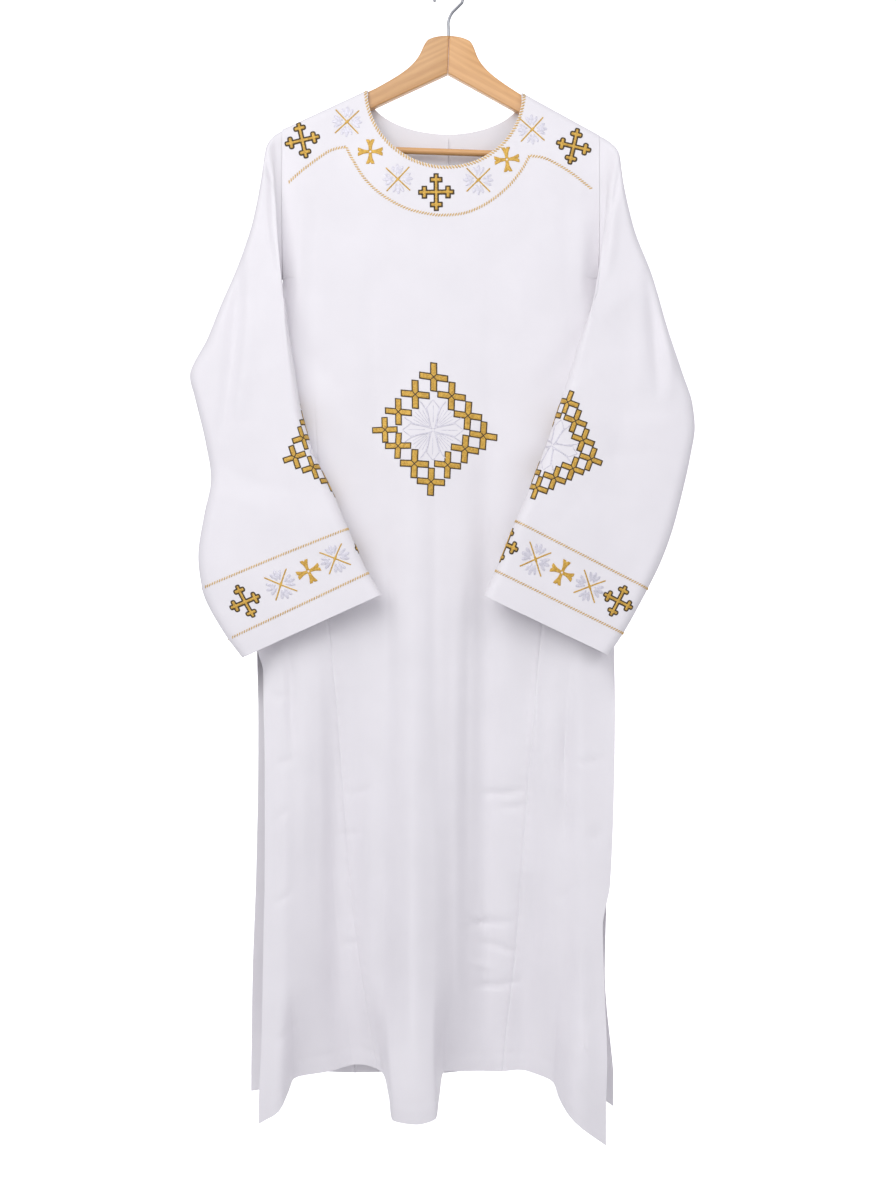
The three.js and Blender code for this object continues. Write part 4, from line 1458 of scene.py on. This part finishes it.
def sew_side(side, parts, cell, wall):
    """Sews the pieces of one side of the body, whose columns are listed part by part."""
    columns = sum(parts, [])
    starts = np.cumsum([0] + [len(part) for part in parts])
    rows = body_rows(cell)
    outer, inside, armhole = side_walls(side, columns, rows, wall)
    row, column = np.mgrid[0:len(rows) - 1, 0:len(columns) - 1]
    for name, (part, above, width, length, rests_on) in BODY_PIECES.items():
        if not name.startswith(side.face):
            continue
        cells = (column >= starts[part]) & (column < starts[part + 1] - 1)
        if above is None:
            cells &= row > armhole
        else:
            first, last = starts[above[0]], starts[above[1]] - 1
            cells |= (row < armhole) & (column >= first) & (column < last)
        piece = cloth_piece(
            f"{name}_cloth", outer, inside, cells, finish_of("white_cloth"), side.face == "back"
        )
        declare_cloth(piece, width, length, rests_on, name, ON_CLOTH.get(name, ()))


class TUNIC_OT_front(Operator):
    """Sew the front panel and its two side gores"""

    bl_idname = "tunic.front"
    bl_label = "Front"

    def execute(self, context):
        sizes = context.scene.tunic_sizes
        cell = sizes.cell / MM
        width = PANEL_LEFT + PANEL_RIGHT
        left, right = (NECK_LEFT + PANEL_LEFT) / width, (NECK_RIGHT + PANEL_LEFT) / width
        inner = neck_shares(left, right, BESIDE_NECK * cell / width, NECK_COLUMNS)
        sew_side(FRONT, [
            seam_columns(0, GORE_WIDTH, FRONT_GORE_CELL, start=False),
            seam_columns(1, width, cell, inner=inner),
            seam_columns(2, GORE_WIDTH, FRONT_GORE_CELL, end=False),
        ], cell, sizes.wall / MM)
        return {"FINISHED"}


class TUNIC_OT_back(Operator):
    """Sew the two halves of the back and their side gores"""

    bl_idname = "tunic.back"
    bl_label = "Back"

    def execute(self, context):
        sizes = context.scene.tunic_sizes
        cell = sizes.cell / MM * BACK_COARSER
        turn = np.linspace(0, math.pi / 2, HALF_NECK_COLUMNS)
        beside = np.arange(0, 1 + NECK_LEFT / PANEL_LEFT, BACK_PANEL_CELL / PANEL_LEFT)
        left = np.concatenate([beside, 1 - (-NECK_LEFT / PANEL_LEFT) * np.sin(turn)])
        beside = np.arange(NECK_RIGHT / PANEL_RIGHT, 1, BACK_PANEL_CELL / PANEL_RIGHT)
        right = np.concatenate([NECK_RIGHT / PANEL_RIGHT * np.sin(turn), beside])
        sew_side(BACK, [
            seam_columns(0, GORE_WIDTH, BACK_GORE_CELL, start=False),
            seam_columns(1, PANEL_LEFT, cell, inner=left),
            seam_columns(2, PANEL_RIGHT, cell, inner=right),
            seam_columns(3, GORE_WIDTH, BACK_GORE_CELL, end=False),
        ], cell, sizes.wall / MM)
        return {"FINISHED"}


SLEEVE_SIDES = 128
SLEEVE_FLAT = (0.47, 0.66)


class TUNIC_OT_sleeves(Operator):
    """Sew the two sleeves with their open cuffs"""

    bl_idname = "tunic.sleeves"
    bl_label = "Sleeves"

    def execute(self, context):
        sizes = context.scene.tunic_sizes
        cloth = finish_of("white_cloth")
        for side, sleeve in SLEEVES.items():
            rings = []
            for ring in range(sleeve.last):
                edges = sleeve.section(np.array([ring, ring + 1.0]))[:2]
                reach = max(np.linalg.norm(edge[1] - edge[0]) for edge in edges)
                count = max(2, round(reach / (sizes.cell / MM)))
                rings.extend(ring + np.arange(count) / count)
            rings = np.array(rings + [float(sleeve.last)])
            share = np.linspace(-1, 1, SLEEVE_SIDES, endpoint=False) + 1 / SLEEVE_SIDES
            around = sleeve.half_round(rings)[:, None] * share[None, :]
            outer = sleeve.surface(rings[:, None], around)
            normals = grid_normals(outer, True)
            facing = np.sign(-normals[len(rings) // 2, SLEEVE_SIDES // 4, 1])
            normals = normals * facing
            normals[0, :, 0] = 0
            normals[0] /= np.linalg.norm(normals[0], axis=-1, keepdims=True)
            inside = outer - normals * (sizes.wall / MM)
            cells = np.ones((len(rings) - 1, outer.shape[1]), dtype=bool)
            name = f"sleeve_{side}"
            piece = cloth_piece(
                f"{name}_cloth", outer, inside, cells, cloth, flip=facing > 0, closed=True
            )
            declare_cloth(
                piece, *SLEEVE_FLAT, ("front_panel_cloth", f"back_{side}_cloth"), name,
                ON_CLOTH[side],
            )
        return {"FINISHED"}


LARGE_CROSSES = [
    # across, drop, turn, rounded ends
    (-211.4, 231.0, -13.0, True),
    (-17.9, 307.6, -0.5, False),
    (180.6, 240.0, 13.0, True),
]
FLOWERS = [(-146.8, 204.2, 2), (-73.1, 288.5, -2), (42.8, 289.7, 0), (120.6, 215.6, -3)]
SMALL_CROSSES = [(-113.0, 248.4, 0), (84.0, 259.6, -6)]
YOKE_LINE = [
    (-231.9, 292.5), (-209.1, 273.3), (-179.6, 251.2), (-164.9, 243.9), (-148.3, 240.8),
    (-139.2, 258.6), (-120.7, 288.1), (-94.9, 312.0), (-61.8, 330.4), (-28.6, 338.9),
    (-6.5, 340.8), (23.0, 337.7), (52.4, 324.9), (81.9, 302.8), (104.0, 276.9),
    (116.8, 254.1), (140.8, 258.6), (174.0, 276.9), (208.2, 302.8),
]
YOKE_CORNERS = (4, 15)
BACK_LARGE_CROSSES = [(-196, 236, -11, True), (-5, 262, 0, False), (172, 244, 11, True)]
BACK_FLOWERS = [(-140, 214, 3), (-68, 252, -3), (58, 254, 3), (120, 220, -3)]
BACK_YOKE_LINE = [
    (-228, 296), (-200, 276), (-172, 262), (-120, 276), (-66, 294), (-5, 304),
    (56, 296), (104, 280), (150, 266), (178, 280), (206, 304),
]
BACK_YOKE_CORNERS = (2, 8)
CHEST_CROSSES = [
    # across, drop, width of the arms, slope of the cross bar, lean of the upright
    (-21.5, 574.7, 1.0, 8, 0), (4.3, 602.1, 0.98, 8, 2), (27.7, 630.1, 0.98, 8, 4),
    (49.9, 658.6, 0.97, 9, 3), (23.5, 678.1, 0.97, 9, 4), (-1.5, 701.1, 0.93, 6, 2),
    (-25.4, 725.3, 0.97, 4, 2), (-49.1, 699.5, 1.0, 3, 2), (-72.6, 673.5, 0.9, 0, 3),
    (-91.7, 650.5, 0.88, -2, -2), (-72.2, 624.6, 0.93, 6, -1), (-48.0, 599.7, 1.0, 6, -1),
]
CHEST_CENTRE = (-22.5, 650.8)


def neck_line(inset, depth):
    """Places just under the neck's edge, from its left end to its right."""
    turn = np.linspace(0.035, math.pi - 0.035, 200)
    centre = (NECK_LEFT + NECK_RIGHT) / 2
    half = (NECK_RIGHT - NECK_LEFT) / 2
    across = centre - np.cos(turn) * (half + inset)
    share = np.clip((across - NECK_LEFT) / (NECK_RIGHT - NECK_LEFT), 0, 1)
    drop = mix(NECK_BASE_LEFT_DROP, NECK_BASE_RIGHT_DROP, share)
    return across, np.maximum(drop + np.sin(turn) * (depth + inset), ridge_drop(across) + 1.5)


# Heights of an outlined cross: its dark patch, and the edge and the middle of its gold one
LARGE_HEIGHTS = (0.45, 0.5, 1.0)
SMALL_HEIGHTS = (0.4, 0.45, 0.9)
# Corners of a large cross with rounded ends: its long bars, and its end bars
ROUND_CORNERS = (2.6, 3.4)
# The small crosses' outlines are narrower
SMALL_OUTLINE = 0.8


class TUNIC_OT_yoke(Operator):
    """Stitch the neck edging, the yoke lines and their crosses and flowers"""

    bl_idname = "tunic.yoke"
    bl_label = "Yoke Embroidery"

    def execute(self, context):
        sizes = context.scene.tunic_sizes
        outline = sizes.outline / MM
        height = sizes.stitch_height / MM
        cross_patches = {
            True: outlined(crosslet_cross(*ROUND_CORNERS), 29, 0.8, outline, LARGE_HEIGHTS),
            False: outlined(crosslet_cross(0.3, 0.3), 29, 0.8, outline, LARGE_HEIGHTS),
        }
        petals = Patch(flower_petals, 24, 0.8, low=0.15, high=0.5)
        lines = Patch(flower_lines, 19, 0.8, low=0.3, high=0.7, soft=0.8)
        small = Patch(flared_cross, 19, 0.7, low=0.3, high=0.8)
        work = {
            "front_panel": (
                FRONT, LARGE_CROSSES, FLOWERS, SMALL_CROSSES, YOKE_LINE, YOKE_CORNERS,
            ),
            "back_left": (
                BACK, BACK_LARGE_CROSSES, BACK_FLOWERS, [], BACK_YOKE_LINE, BACK_YOKE_CORNERS,
            ),
        }
        for under_work, (side, large, flowers, smalls, line, corners) in work.items():
            gold, dark, silver, cord = Embroidery(), Embroidery(), Embroidery(), Embroidery()
            for across, drop, turn, is_round in large:
                under, over = cross_patches[is_round]
                turn = -side.outward * turn
                dark.patch(under, side.place, (across, drop), turn)
                gold.patch(over, side.place, (across, drop), turn)
            for across, drop, turn in flowers:
                silver.patch(petals, side.place, (across, drop), turn)
                gold.patch(lines, side.place, (across, drop), turn)
            for across, drop, turn in smalls:
                gold.patch(small, side.place, (across, drop), turn)
            yoke = curve_through(line, 2.0, corners)
            path, normals = side.place(yoke[:, 0], yoke[:, 1])
            cord.stitches(path, normals, pitch=4.0, length=5.4, width=2.5, height=height)
            path, normals = side.place(*neck_line(2.4, side.neck_depth))
            cord.stitches(path, normals, pitch=4.4, length=6.2, width=2.8, height=height, slant=-38)
            ON_CLOTH[under_work] += thread_pieces(f"{side.face}_yoke", gold, dark, silver, cord)
        return {"FINISHED"}


class TUNIC_OT_chest(Operator):
    """Stitch the diamond of crosses on the chest and the rayed cross inside it"""

    bl_idname = "tunic.chest"
    bl_label = "Chest Embroidery"

    def execute(self, context):
        outline = context.scene.tunic_sizes.outline / MM * SMALL_OUTLINE
        under, over = outlined(plus_cross(21, 21, 5.2), 22, 0.75, outline, SMALL_HEIGHTS)
        tie = Patch(plus_stitches, 5, 0.5, low=0.9, high=1.05, soft=0.6)
        gold, dark, silver = Embroidery(), Embroidery(), Embroidery()
        for across, drop, width, slope, lean in CHEST_CROSSES:
            where = dict(centre=(across, drop), scale=width, slope=slope, lean=lean)
            dark.patch(under, FRONT.place, **where)
            gold.patch(over, FRONT.place, **where)
            dark.patch(tie, FRONT.place, **where)
        bars = Patch(rayed_cross_bars, 46, 0.8, low=0.2, high=0.5, soft=0.6)
        rays = Patch(rayed_cross_rays, 40, 0.7, low=0.12, high=0.28, soft=0.5)
        for patch in (bars, rays):
            silver.patch(patch, FRONT.place, CHEST_CENTRE, scale=0.97)
        ON_CLOTH["front_panel"] += thread_pieces("chest", gold, dark, silver)
        return {"FINISHED"}


SLEEVE_DIAMONDS = {
    # centre, turn of the diamond, and its steps across and along
    "left": {"across": -158.0, "drop": 673.5, "turn": -18.0, "step": (21.0, 22.0)},
    "right": {"across": 146.1, "drop": 675.8, "turn": 20.0, "step": (19.6, 21.5)},
}
# Each line above a cuff: its ring at the outer edge and at the inner edge.
CUFF_LINES = {
    "left": ((14.0, 13.8), (15.26, 15.15)),
    "right": ((14.0, 13.95), (15.12, 15.08)),
}
# Where each sleeve's lines stop before the outer edge over the front.
CUFF_LINE_ENDS = {"left": 15, "right": 0}
# How much the front motifs sink towards the outer edge, for each mm.
CUFF_SINK = {"left": 0.045, "right": 0.0}
CUFF_MIDDLE = {"left": 14.47, "right": 14.52}
CUFF_MOTIFS = {
    # each motif's place round the cuff, from the inner edge and negative over the front
    "left": (
        ("large", -185), ("flower", -128), ("small", -84), ("flower", -42),
        ("large", 16), ("flower", 73), ("small", 117), ("flower", 160), ("large", 217),
    ),
    "right": (
        ("large", -187), ("flower", -141), ("small", -97), ("flower", -55),
        ("large", -4), ("flower", 56), ("small", 103), ("flower", 146), ("large", 202),
    ),
}


class TUNIC_OT_cuffs(Operator):
    """Stitch each sleeve's diamond of crosses and the band above its cuff"""

    bl_idname = "tunic.cuffs"
    bl_label = "Sleeve Embroidery"

    def execute(self, context):
        sizes = context.scene.tunic_sizes
        outline = sizes.outline / MM
        height = sizes.stitch_height / MM
        cross = plus_cross(17.3, 17.3, 4.4)
        under, over = outlined(cross, 18, 0.75, outline * SMALL_OUTLINE, SMALL_HEIGHTS)
        tie = Patch(plus_stitches, 5, 0.5, low=0.9, high=1.05, soft=0.6)
        cross = crosslet_cross(*ROUND_CORNERS)
        large_under, large_over = outlined(cross, 29, 0.85, outline, LARGE_HEIGHTS)
        petals = Patch(flower_petals, 24, 0.85, low=0.15, high=0.5)
        lines = Patch(flower_lines, 19, 0.8, low=0.3, high=0.7, soft=0.8)
        small = Patch(flared_cross, 19, 0.75, low=0.3, high=0.8)
        bars = Patch(rayed_cross_bars, 46, 0.9, low=0.2, high=0.5, soft=0.6)
        for side, sleeve in SLEEVES.items():
            gold, dark, silver, cord = Embroidery(), Embroidery(), Embroidery(), Embroidery()
            diamond = SLEEVE_DIAMONDS[side]
            turn = math.radians(diamond["turn"])
            step_across, step_along = diamond["step"]
            for column, row in diamond_places(3):
                u, v = column * step_across, row * step_along
                centre = (
                    diamond["across"] + u * math.cos(turn) + v * math.sin(turn),
                    diamond["drop"] - v * math.cos(turn) + u * math.sin(turn),
                )
                for target, patch in ((dark, under), (gold, over), (dark, tie)):
                    target.patch(patch, sleeve.place, centre, diamond["turn"])
            middle = (diamond["across"], diamond["drop"])
            silver.patch(bars, sleeve.place, middle, diamond["turn"], scale=0.84)

            place = band_place(sleeve, CUFF_MIDDLE[side])
            for kind, around in CUFF_MOTIFS[side]:
                spot = (around, CUFF_SINK[side] * max(-around, 0))
                if kind == "large":
                    dark.patch(large_under, place, spot, scale=0.9)
                    gold.patch(large_over, place, spot, scale=0.9)
                elif kind == "flower":
                    silver.patch(petals, place, spot)
                    gold.patch(lines, place, spot)
                else:
                    gold.patch(small, place, spot, scale=0.95)
            for outer_ring, inner_ring in CUFF_LINES[side]:
                half = float(sleeve.half_round(np.array([outer_ring]))[0])
                around = np.linspace(-half + CUFF_LINE_ENDS[side], half, 260)
                ring = mix(inner_ring, outer_ring, np.abs(around) / half)
                path, normals = sleeve.with_normals(ring, around)
                cord.stitches(path, normals, pitch=3.8, length=4.8, width=2.3, height=height)
            ON_CLOTH[side] += thread_pieces(f"sleeve_{side}", gold, dark, silver, cord)
        return {"FINISHED"}


def diamond_places(reach):
    """Columns and rows of the crosses round a diamond."""
    places = []
    for step in range(reach):
        places += [(step, reach - step), (reach - step, -step), (-step, step - reach),
                   (step - reach, step)]
    return places


def band_place(sleeve, middle):
    """Places on a sleeve by distance round it and distance down from a ring."""
    outer, inner, _, _ = sleeve.section(np.array([middle - 0.4, middle + 0.4]))
    centre = (outer + inner) / 2
    ring_length = np.linalg.norm(centre[1] - centre[0]) / 0.8

    def place(around, down):
        ring = middle + down / ring_length
        half_middle = sleeve.half_round(np.full(np.shape(around), middle))
        around = (around + half_middle) % (2 * half_middle) - half_middle
        return sleeve.with_normals(ring, around * sleeve.half_round(ring) / half_middle)

    return place


# ---- Hanger ----

HANGER_HALF_LENGTH = 217
HANGER_SLOPE = 0.507
HANGER_TILT = 2.0
ARM_THICK = 14
ARM_BEVEL = 2.4
ARM_TOP_UNDER_CLOTH = 4.2
ARM_UNDERSIDE_DROP = 131.6
HEAD_TOP_DROP = 77
LUG_LENGTH = 22
LUG_FOOT_DROP = 254
BAR_DROP = 244.3
BAR_RADIUS = 4.75
WIRE_RADIUS = 1.9
HOOK_RADIUS = 21
HOOK_SHANK_TOP_DROP = 54
HOOK_END_ANGLE = 202


def bezier(points, count):
    t = np.linspace(0, 1, count + 1)[1:, None]
    points = [np.asarray(point, float) for point in points]
    while len(points) > 1:
        points = [a + (b - a) * t for a, b in zip(points, points[1:])]
    return [tuple(point) for point in points[0]]


def arm_outline():
    """One arm from the front, on the right side, as places across and up."""
    def top(x):
        return -(RIDGE_CENTRE_DROP + ARM_TOP_UNDER_CLOTH + HANGER_SLOPE * x)

    def underside(x):
        return -(ARM_UNDERSIDE_DROP + HANGER_SLOPE * x)

    end = HANGER_HALF_LENGTH
    lug = end - LUG_LENGTH
    gap = SEAM_GAP / 2
    outline = [(gap, -HEAD_TOP_DROP)]
    outline += bezier([outline[-1], (20, -HEAD_TOP_DROP), (31, -HEAD_TOP_DROP - 7)], 12)
    outline += bezier([outline[-1], (38, -92), (38, -100), (45, -111)], 12)
    outline += bezier([outline[-1], (56, -128), (76, top(76) + 2.5), (104, top(104))], 14)
    outline += [(150, top(150)), (end - 9, top(end - 9))]
    outline += bezier([outline[-1], (end, top(end)), (end, top(end) - 9)], 8)
    outline += [(end - 2, -LUG_FOOT_DROP + 5)]
    outline += bezier([outline[-1], (end - 4, -LUG_FOOT_DROP), (end - 10, -LUG_FOOT_DROP)], 6)
    outline += [(lug, -LUG_FOOT_DROP), (lug, underside(lug)), (gap, underside(0))]
    return np.array(outline)


def inset_outline(outline, distance):
    """An outline moved in along its corners' bisectors."""
    before = outline - np.roll(outline, 1, axis=0)
    after = np.roll(outline, -1, axis=0) - outline
    before /= np.linalg.norm(before, axis=1, keepdims=True)
    after /= np.linalg.norm(after, axis=1, keepdims=True)
    inward = [np.stack([side[:, 1], -side[:, 0]], axis=-1) for side in (before, after)]
    middle = inward[0] + inward[1]
    middle /= np.sum(middle * inward[0], axis=1, keepdims=True)
    return outline + middle * distance


def tilted(points):
    """Turns the wood about the middle of its shoulder line, down on the right."""
    angle = math.radians(HANGER_TILT)
    x, y, z = points[:, 0], points[:, 1], points[:, 2] + RIDGE_CENTRE_DROP
    return np.stack([
        x * math.cos(angle) + z * math.sin(angle), y,
        z * math.cos(angle) - x * math.sin(angle) - RIDGE_CENTRE_DROP,
    ], axis=-1)


def standing(places, depth=0.0):
    """Places across and up, stood at a depth behind the hanger's plane."""
    return np.stack([places[:, 0], np.full(len(places), depth), places[:, 1]], axis=-1)


def tube(path, radius, sides, cap=4):
    """A round rod along a path in the hanger's plane, with rounded ends."""
    tangent = np.gradient(path, axis=0)
    tangent /= np.linalg.norm(tangent, axis=1, keepdims=True)
    rings = []
    turns = np.linspace(0, 2 * math.pi, sides, endpoint=False)
    sizes = [(index, 1.0, 0.0) for index in range(len(path))]
    ends = [(k / cap) * math.pi / 2 for k in range(cap)]
    head = [(0, math.sin(a) + 0.001, -math.cos(a)) for a in ends]
    tail = [(len(path) - 1, math.sin(a) + 0.001, math.cos(a)) for a in reversed(ends)]
    for index, share, shift in head + sizes + tail:
        side = np.array([-tangent[index][2], 0, tangent[index][0]])
        centre = path[index] + tangent[index] * shift * radius * 0.6
        rings.append(centre + radius * share * (
            np.cos(turns)[:, None] * side + np.sin(turns)[:, None] * np.array([0, 1, 0])
        ))
    number = np.arange(len(rings) * sides).reshape(-1, sides)
    quads = cell_corners(number, closed=True).reshape(-1, 4)
    return np.vstack(rings), [quads, number[0][None, :], number[-1][None, ::-1]]


class TUNIC_OT_hanger(Operator):
    """Shape the hanger's two wooden arms, its bar and its wire hook"""

    bl_idname = "tunic.hanger"
    bl_label = "Hanger"

    def execute(self, context):
        outline = arm_outline()
        half = ARM_THICK / 2
        rings = []
        angles = np.linspace(0, math.pi / 2, 6)
        for facing in (-1, 1):
            for angle in angles[::facing]:
                inset = ARM_BEVEL * (1 - math.cos(angle))
                depth = facing * (half - ARM_BEVEL + ARM_BEVEL * math.sin(angle))
                ring = inset_outline(outline, inset)
                rings.append(standing(ring, depth))
        number = np.arange(len(rings) * len(outline)).reshape(len(rings), -1)
        quads = cell_corners(number, closed=True)[..., [0, 3, 2, 1]].reshape(-1, 4)
        faces = [quads, number[0][None, ::-1], number[-1][None, :]]
        points = np.vstack(rings)
        for side, sign in (("left", -1), ("right", 1)):
            name = f"hanger_arm_{side}"
            placed = tilted(points * [sign, 1, 1])
            turned = faces if sign > 0 else [group[:, ::-1] for group in faces]
            piece = make_mesh(f"{name}_wood", placed, turned, finish_of(f"beech_{side}"), sharp=35)
            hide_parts(name)
        reach = HANGER_HALF_LENGTH - LUG_LENGTH - SEAM_GAP
        path = standing(np.array([(x, -BAR_DROP) for x in np.linspace(-reach, reach, 24)]))
        points, faces = tube(path, BAR_RADIUS, 28, cap=2)
        wood = finish_of("beech_bar")
        piece = make_mesh("hanger_bar_wood", tilted(points), faces, wood, sharp=40)
        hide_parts("hanger_bar")
        centre = HOOK_RADIUS - WIRE_RADIUS
        turns = np.radians(np.arange(-24, HOOK_END_ANGLE, 5.65))
        corners = [(0, -HEAD_TOP_DROP - 1), (0, -66), (0, -HOOK_SHANK_TOP_DROP),
                   (4.5, -HOOK_SHANK_TOP_DROP + 11), (11.5, -HOOK_SHANK_TOP_DROP + 18.5)]
        crook = [(HOOK_RADIUS * math.cos(t), HOOK_RADIUS * math.sin(t) - centre) for t in turns]
        wire = curve_through(np.array(corners + crook), 1.5)
        points, faces = tube(standing(wire), WIRE_RADIUS, 18)
        piece = make_mesh("hanger_hook_wire", points, faces, finish_of("steel_wire"), sharp=60)
        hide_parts("hanger_hook")
        return {"FINISHED"}


# ---- Studio ----

# In metres: where the lights aim, the photograph's view, and the paper behind and below
LIT_PLACE = Vector((0, 0, -0.85))
VIEW_HEIGHT = 1.737
VIEW_MIDDLE = (-0.0009, -0.8917)
SENSOR_MM = 36
PAPER_HALF_WIDTH = 9.0
PAPER_FRONT = -7.0
PAPER_BACK = 7.0
PAPER_FLOOR = -2.75
PAPER_TOP = 5.0
PAPER_BEND = 1.2


def area_light(name, place, width, height, power):
    """A rectangular light at a place, aimed at the middle of the tunic."""
    light = bpy.data.lights.new(name, "AREA")
    light.shape = "RECTANGLE"
    light.size = width
    light.size_y = height
    light.energy = power
    lamp = bpy.data.objects.new(name, light)
    lamp.location = place
    lamp.rotation_euler = (LIT_PLACE - Vector(place)).to_track_quat("-Z", "Y").to_euler()
    bpy.context.scene.collection.objects.link(lamp)


class TUNIC_OT_studio(Operator):
    """Set up the camera, the soft lights and the white backdrop"""

    bl_idname = "tunic.studio"
    bl_label = "Studio"

    def execute(self, context):
        settings = context.scene.tunic_studio
        camera = bpy.data.cameras.new("camera")
        camera.lens = SENSOR_MM * settings.camera_distance / VIEW_HEIGHT
        camera.sensor_width = SENSOR_MM
        camera.clip_end = 60
        stand = bpy.data.objects.new("camera", camera)
        stand.location = (VIEW_MIDDLE[0], -settings.camera_distance, VIEW_MIDDLE[1])
        stand.rotation_euler = (math.radians(90), 0, 0)
        context.scene.collection.objects.link(stand)
        context.scene.camera = stand

        world = bpy.data.worlds.new("studio")
        world.use_nodes = True
        background = world.node_tree.nodes["Background"]
        background.inputs["Color"].default_value = (0.93, 0.92, 1, 1)
        background.inputs["Strength"].default_value = settings.sky
        context.scene.world = world
        context.scene.view_settings.view_transform = "Standard"

        area_light("front_light", (-0.9, -2.3, 0.5), 2.5, 2.1, settings.key_power)
        area_light("right_light", (2.2, -1.9, 0.5), 1.4, 1.4, settings.side_power)
        area_light("back_light", (2.4, 3.0, 1.0), 1.6, 1.6, settings.back_power)

        profile = [(PAPER_FRONT, PAPER_FLOOR), (PAPER_BACK - PAPER_BEND, PAPER_FLOOR)]
        for angle in np.linspace(0, math.pi / 2, 14)[1:]:
            profile.append((
                PAPER_BACK - PAPER_BEND + PAPER_BEND * math.sin(angle),
                PAPER_FLOOR + PAPER_BEND - PAPER_BEND * math.cos(angle),
            ))
        profile.append((PAPER_BACK, PAPER_TOP))
        sides = (-PAPER_HALF_WIDTH, PAPER_HALF_WIDTH)
        points = [(x, y, z) for y, z in profile for x in sides]
        faces = [(2 * k, 2 * k + 1, 2 * k + 3, 2 * k + 2) for k in range(len(profile) - 1)]
        mesh = bpy.data.meshes.new("backdrop")
        mesh.from_pydata(points, [], faces)
        mesh.polygons.foreach_set("use_smooth", [True] * len(faces))
        paper = Shader("backdrop_paper", Roughness=0.9, Emission_Strength=0.9)
        tone = paper.noise(3, 2)
        paper.set("Base Color", paper.colours(tone, (0.88, 0.88, 0.88), (0.9, 0.9, 0.9)))
        x, y, z = paper.axes()
        beside = (x * x).between(2.7**2, 4.2**2)
        lit = y.between(1.8, 2.6) * (1 - beside) * (1 - z.between(2.2, 3.8))
        paper.set("Emission Color", paper.colours(lit, (0, 0, 0), (1, 1, 1)))
        mesh.materials.append(paper.material)
        backdrop = bpy.data.objects.new("backdrop", mesh)
        context.scene.collection.objects.link(backdrop)
        return {"FINISHED"}


class TUNIC_PT_panel(Panel):
    """Sizes, colours and building steps of the tunic"""

    bl_idname = "TUNIC_PT_panel"
    bl_label = "Deacon Tunic"
    bl_space_type = "VIEW_3D"
    bl_region_type = "UI"
    bl_category = "Tunic"

    def draw(self, context):
        layout = self.layout
        for group in ("tunic_sizes", "tunic_colours", "tunic_studio"):
            settings = getattr(context.scene, group)
            box = layout.box()
            for name in settings.__annotations__:
                box.prop(settings, name)
        for operator in OPERATORS:
            layout.operator(operator.bl_idname)


SETTINGS = (TunicSizes, TunicColours, StudioSettings)
OPERATORS = (
    TUNIC_OT_studio, TUNIC_OT_hanger, TUNIC_OT_yoke, TUNIC_OT_chest, TUNIC_OT_cuffs,
    TUNIC_OT_front, TUNIC_OT_back, TUNIC_OT_sleeves,
)
CLASSES = SETTINGS + OPERATORS + (TUNIC_PT_panel,)


def register():
    for cls in CLASSES:
        bpy.utils.register_class(cls)
    bpy.types.Scene.tunic_sizes = PointerProperty(type=TunicSizes)
    bpy.types.Scene.tunic_colours = PointerProperty(type=TunicColours)
    bpy.types.Scene.tunic_studio = PointerProperty(type=StudioSettings)


def unregister():
    del bpy.types.Scene.tunic_studio
    del bpy.types.Scene.tunic_colours
    del bpy.types.Scene.tunic_sizes
    for cls in reversed(CLASSES):
        bpy.utils.unregister_class(cls)


def main():
    register()
    bpy.ops.tunic.studio()
    bpy.ops.tunic.hanger()
    bpy.ops.tunic.yoke()
    bpy.ops.tunic.chest()
    bpy.ops.tunic.cuffs()
    bpy.ops.tunic.front()
    bpy.ops.tunic.back()
    bpy.ops.tunic.sleeves()


if __name__ == "__main__":
    main()
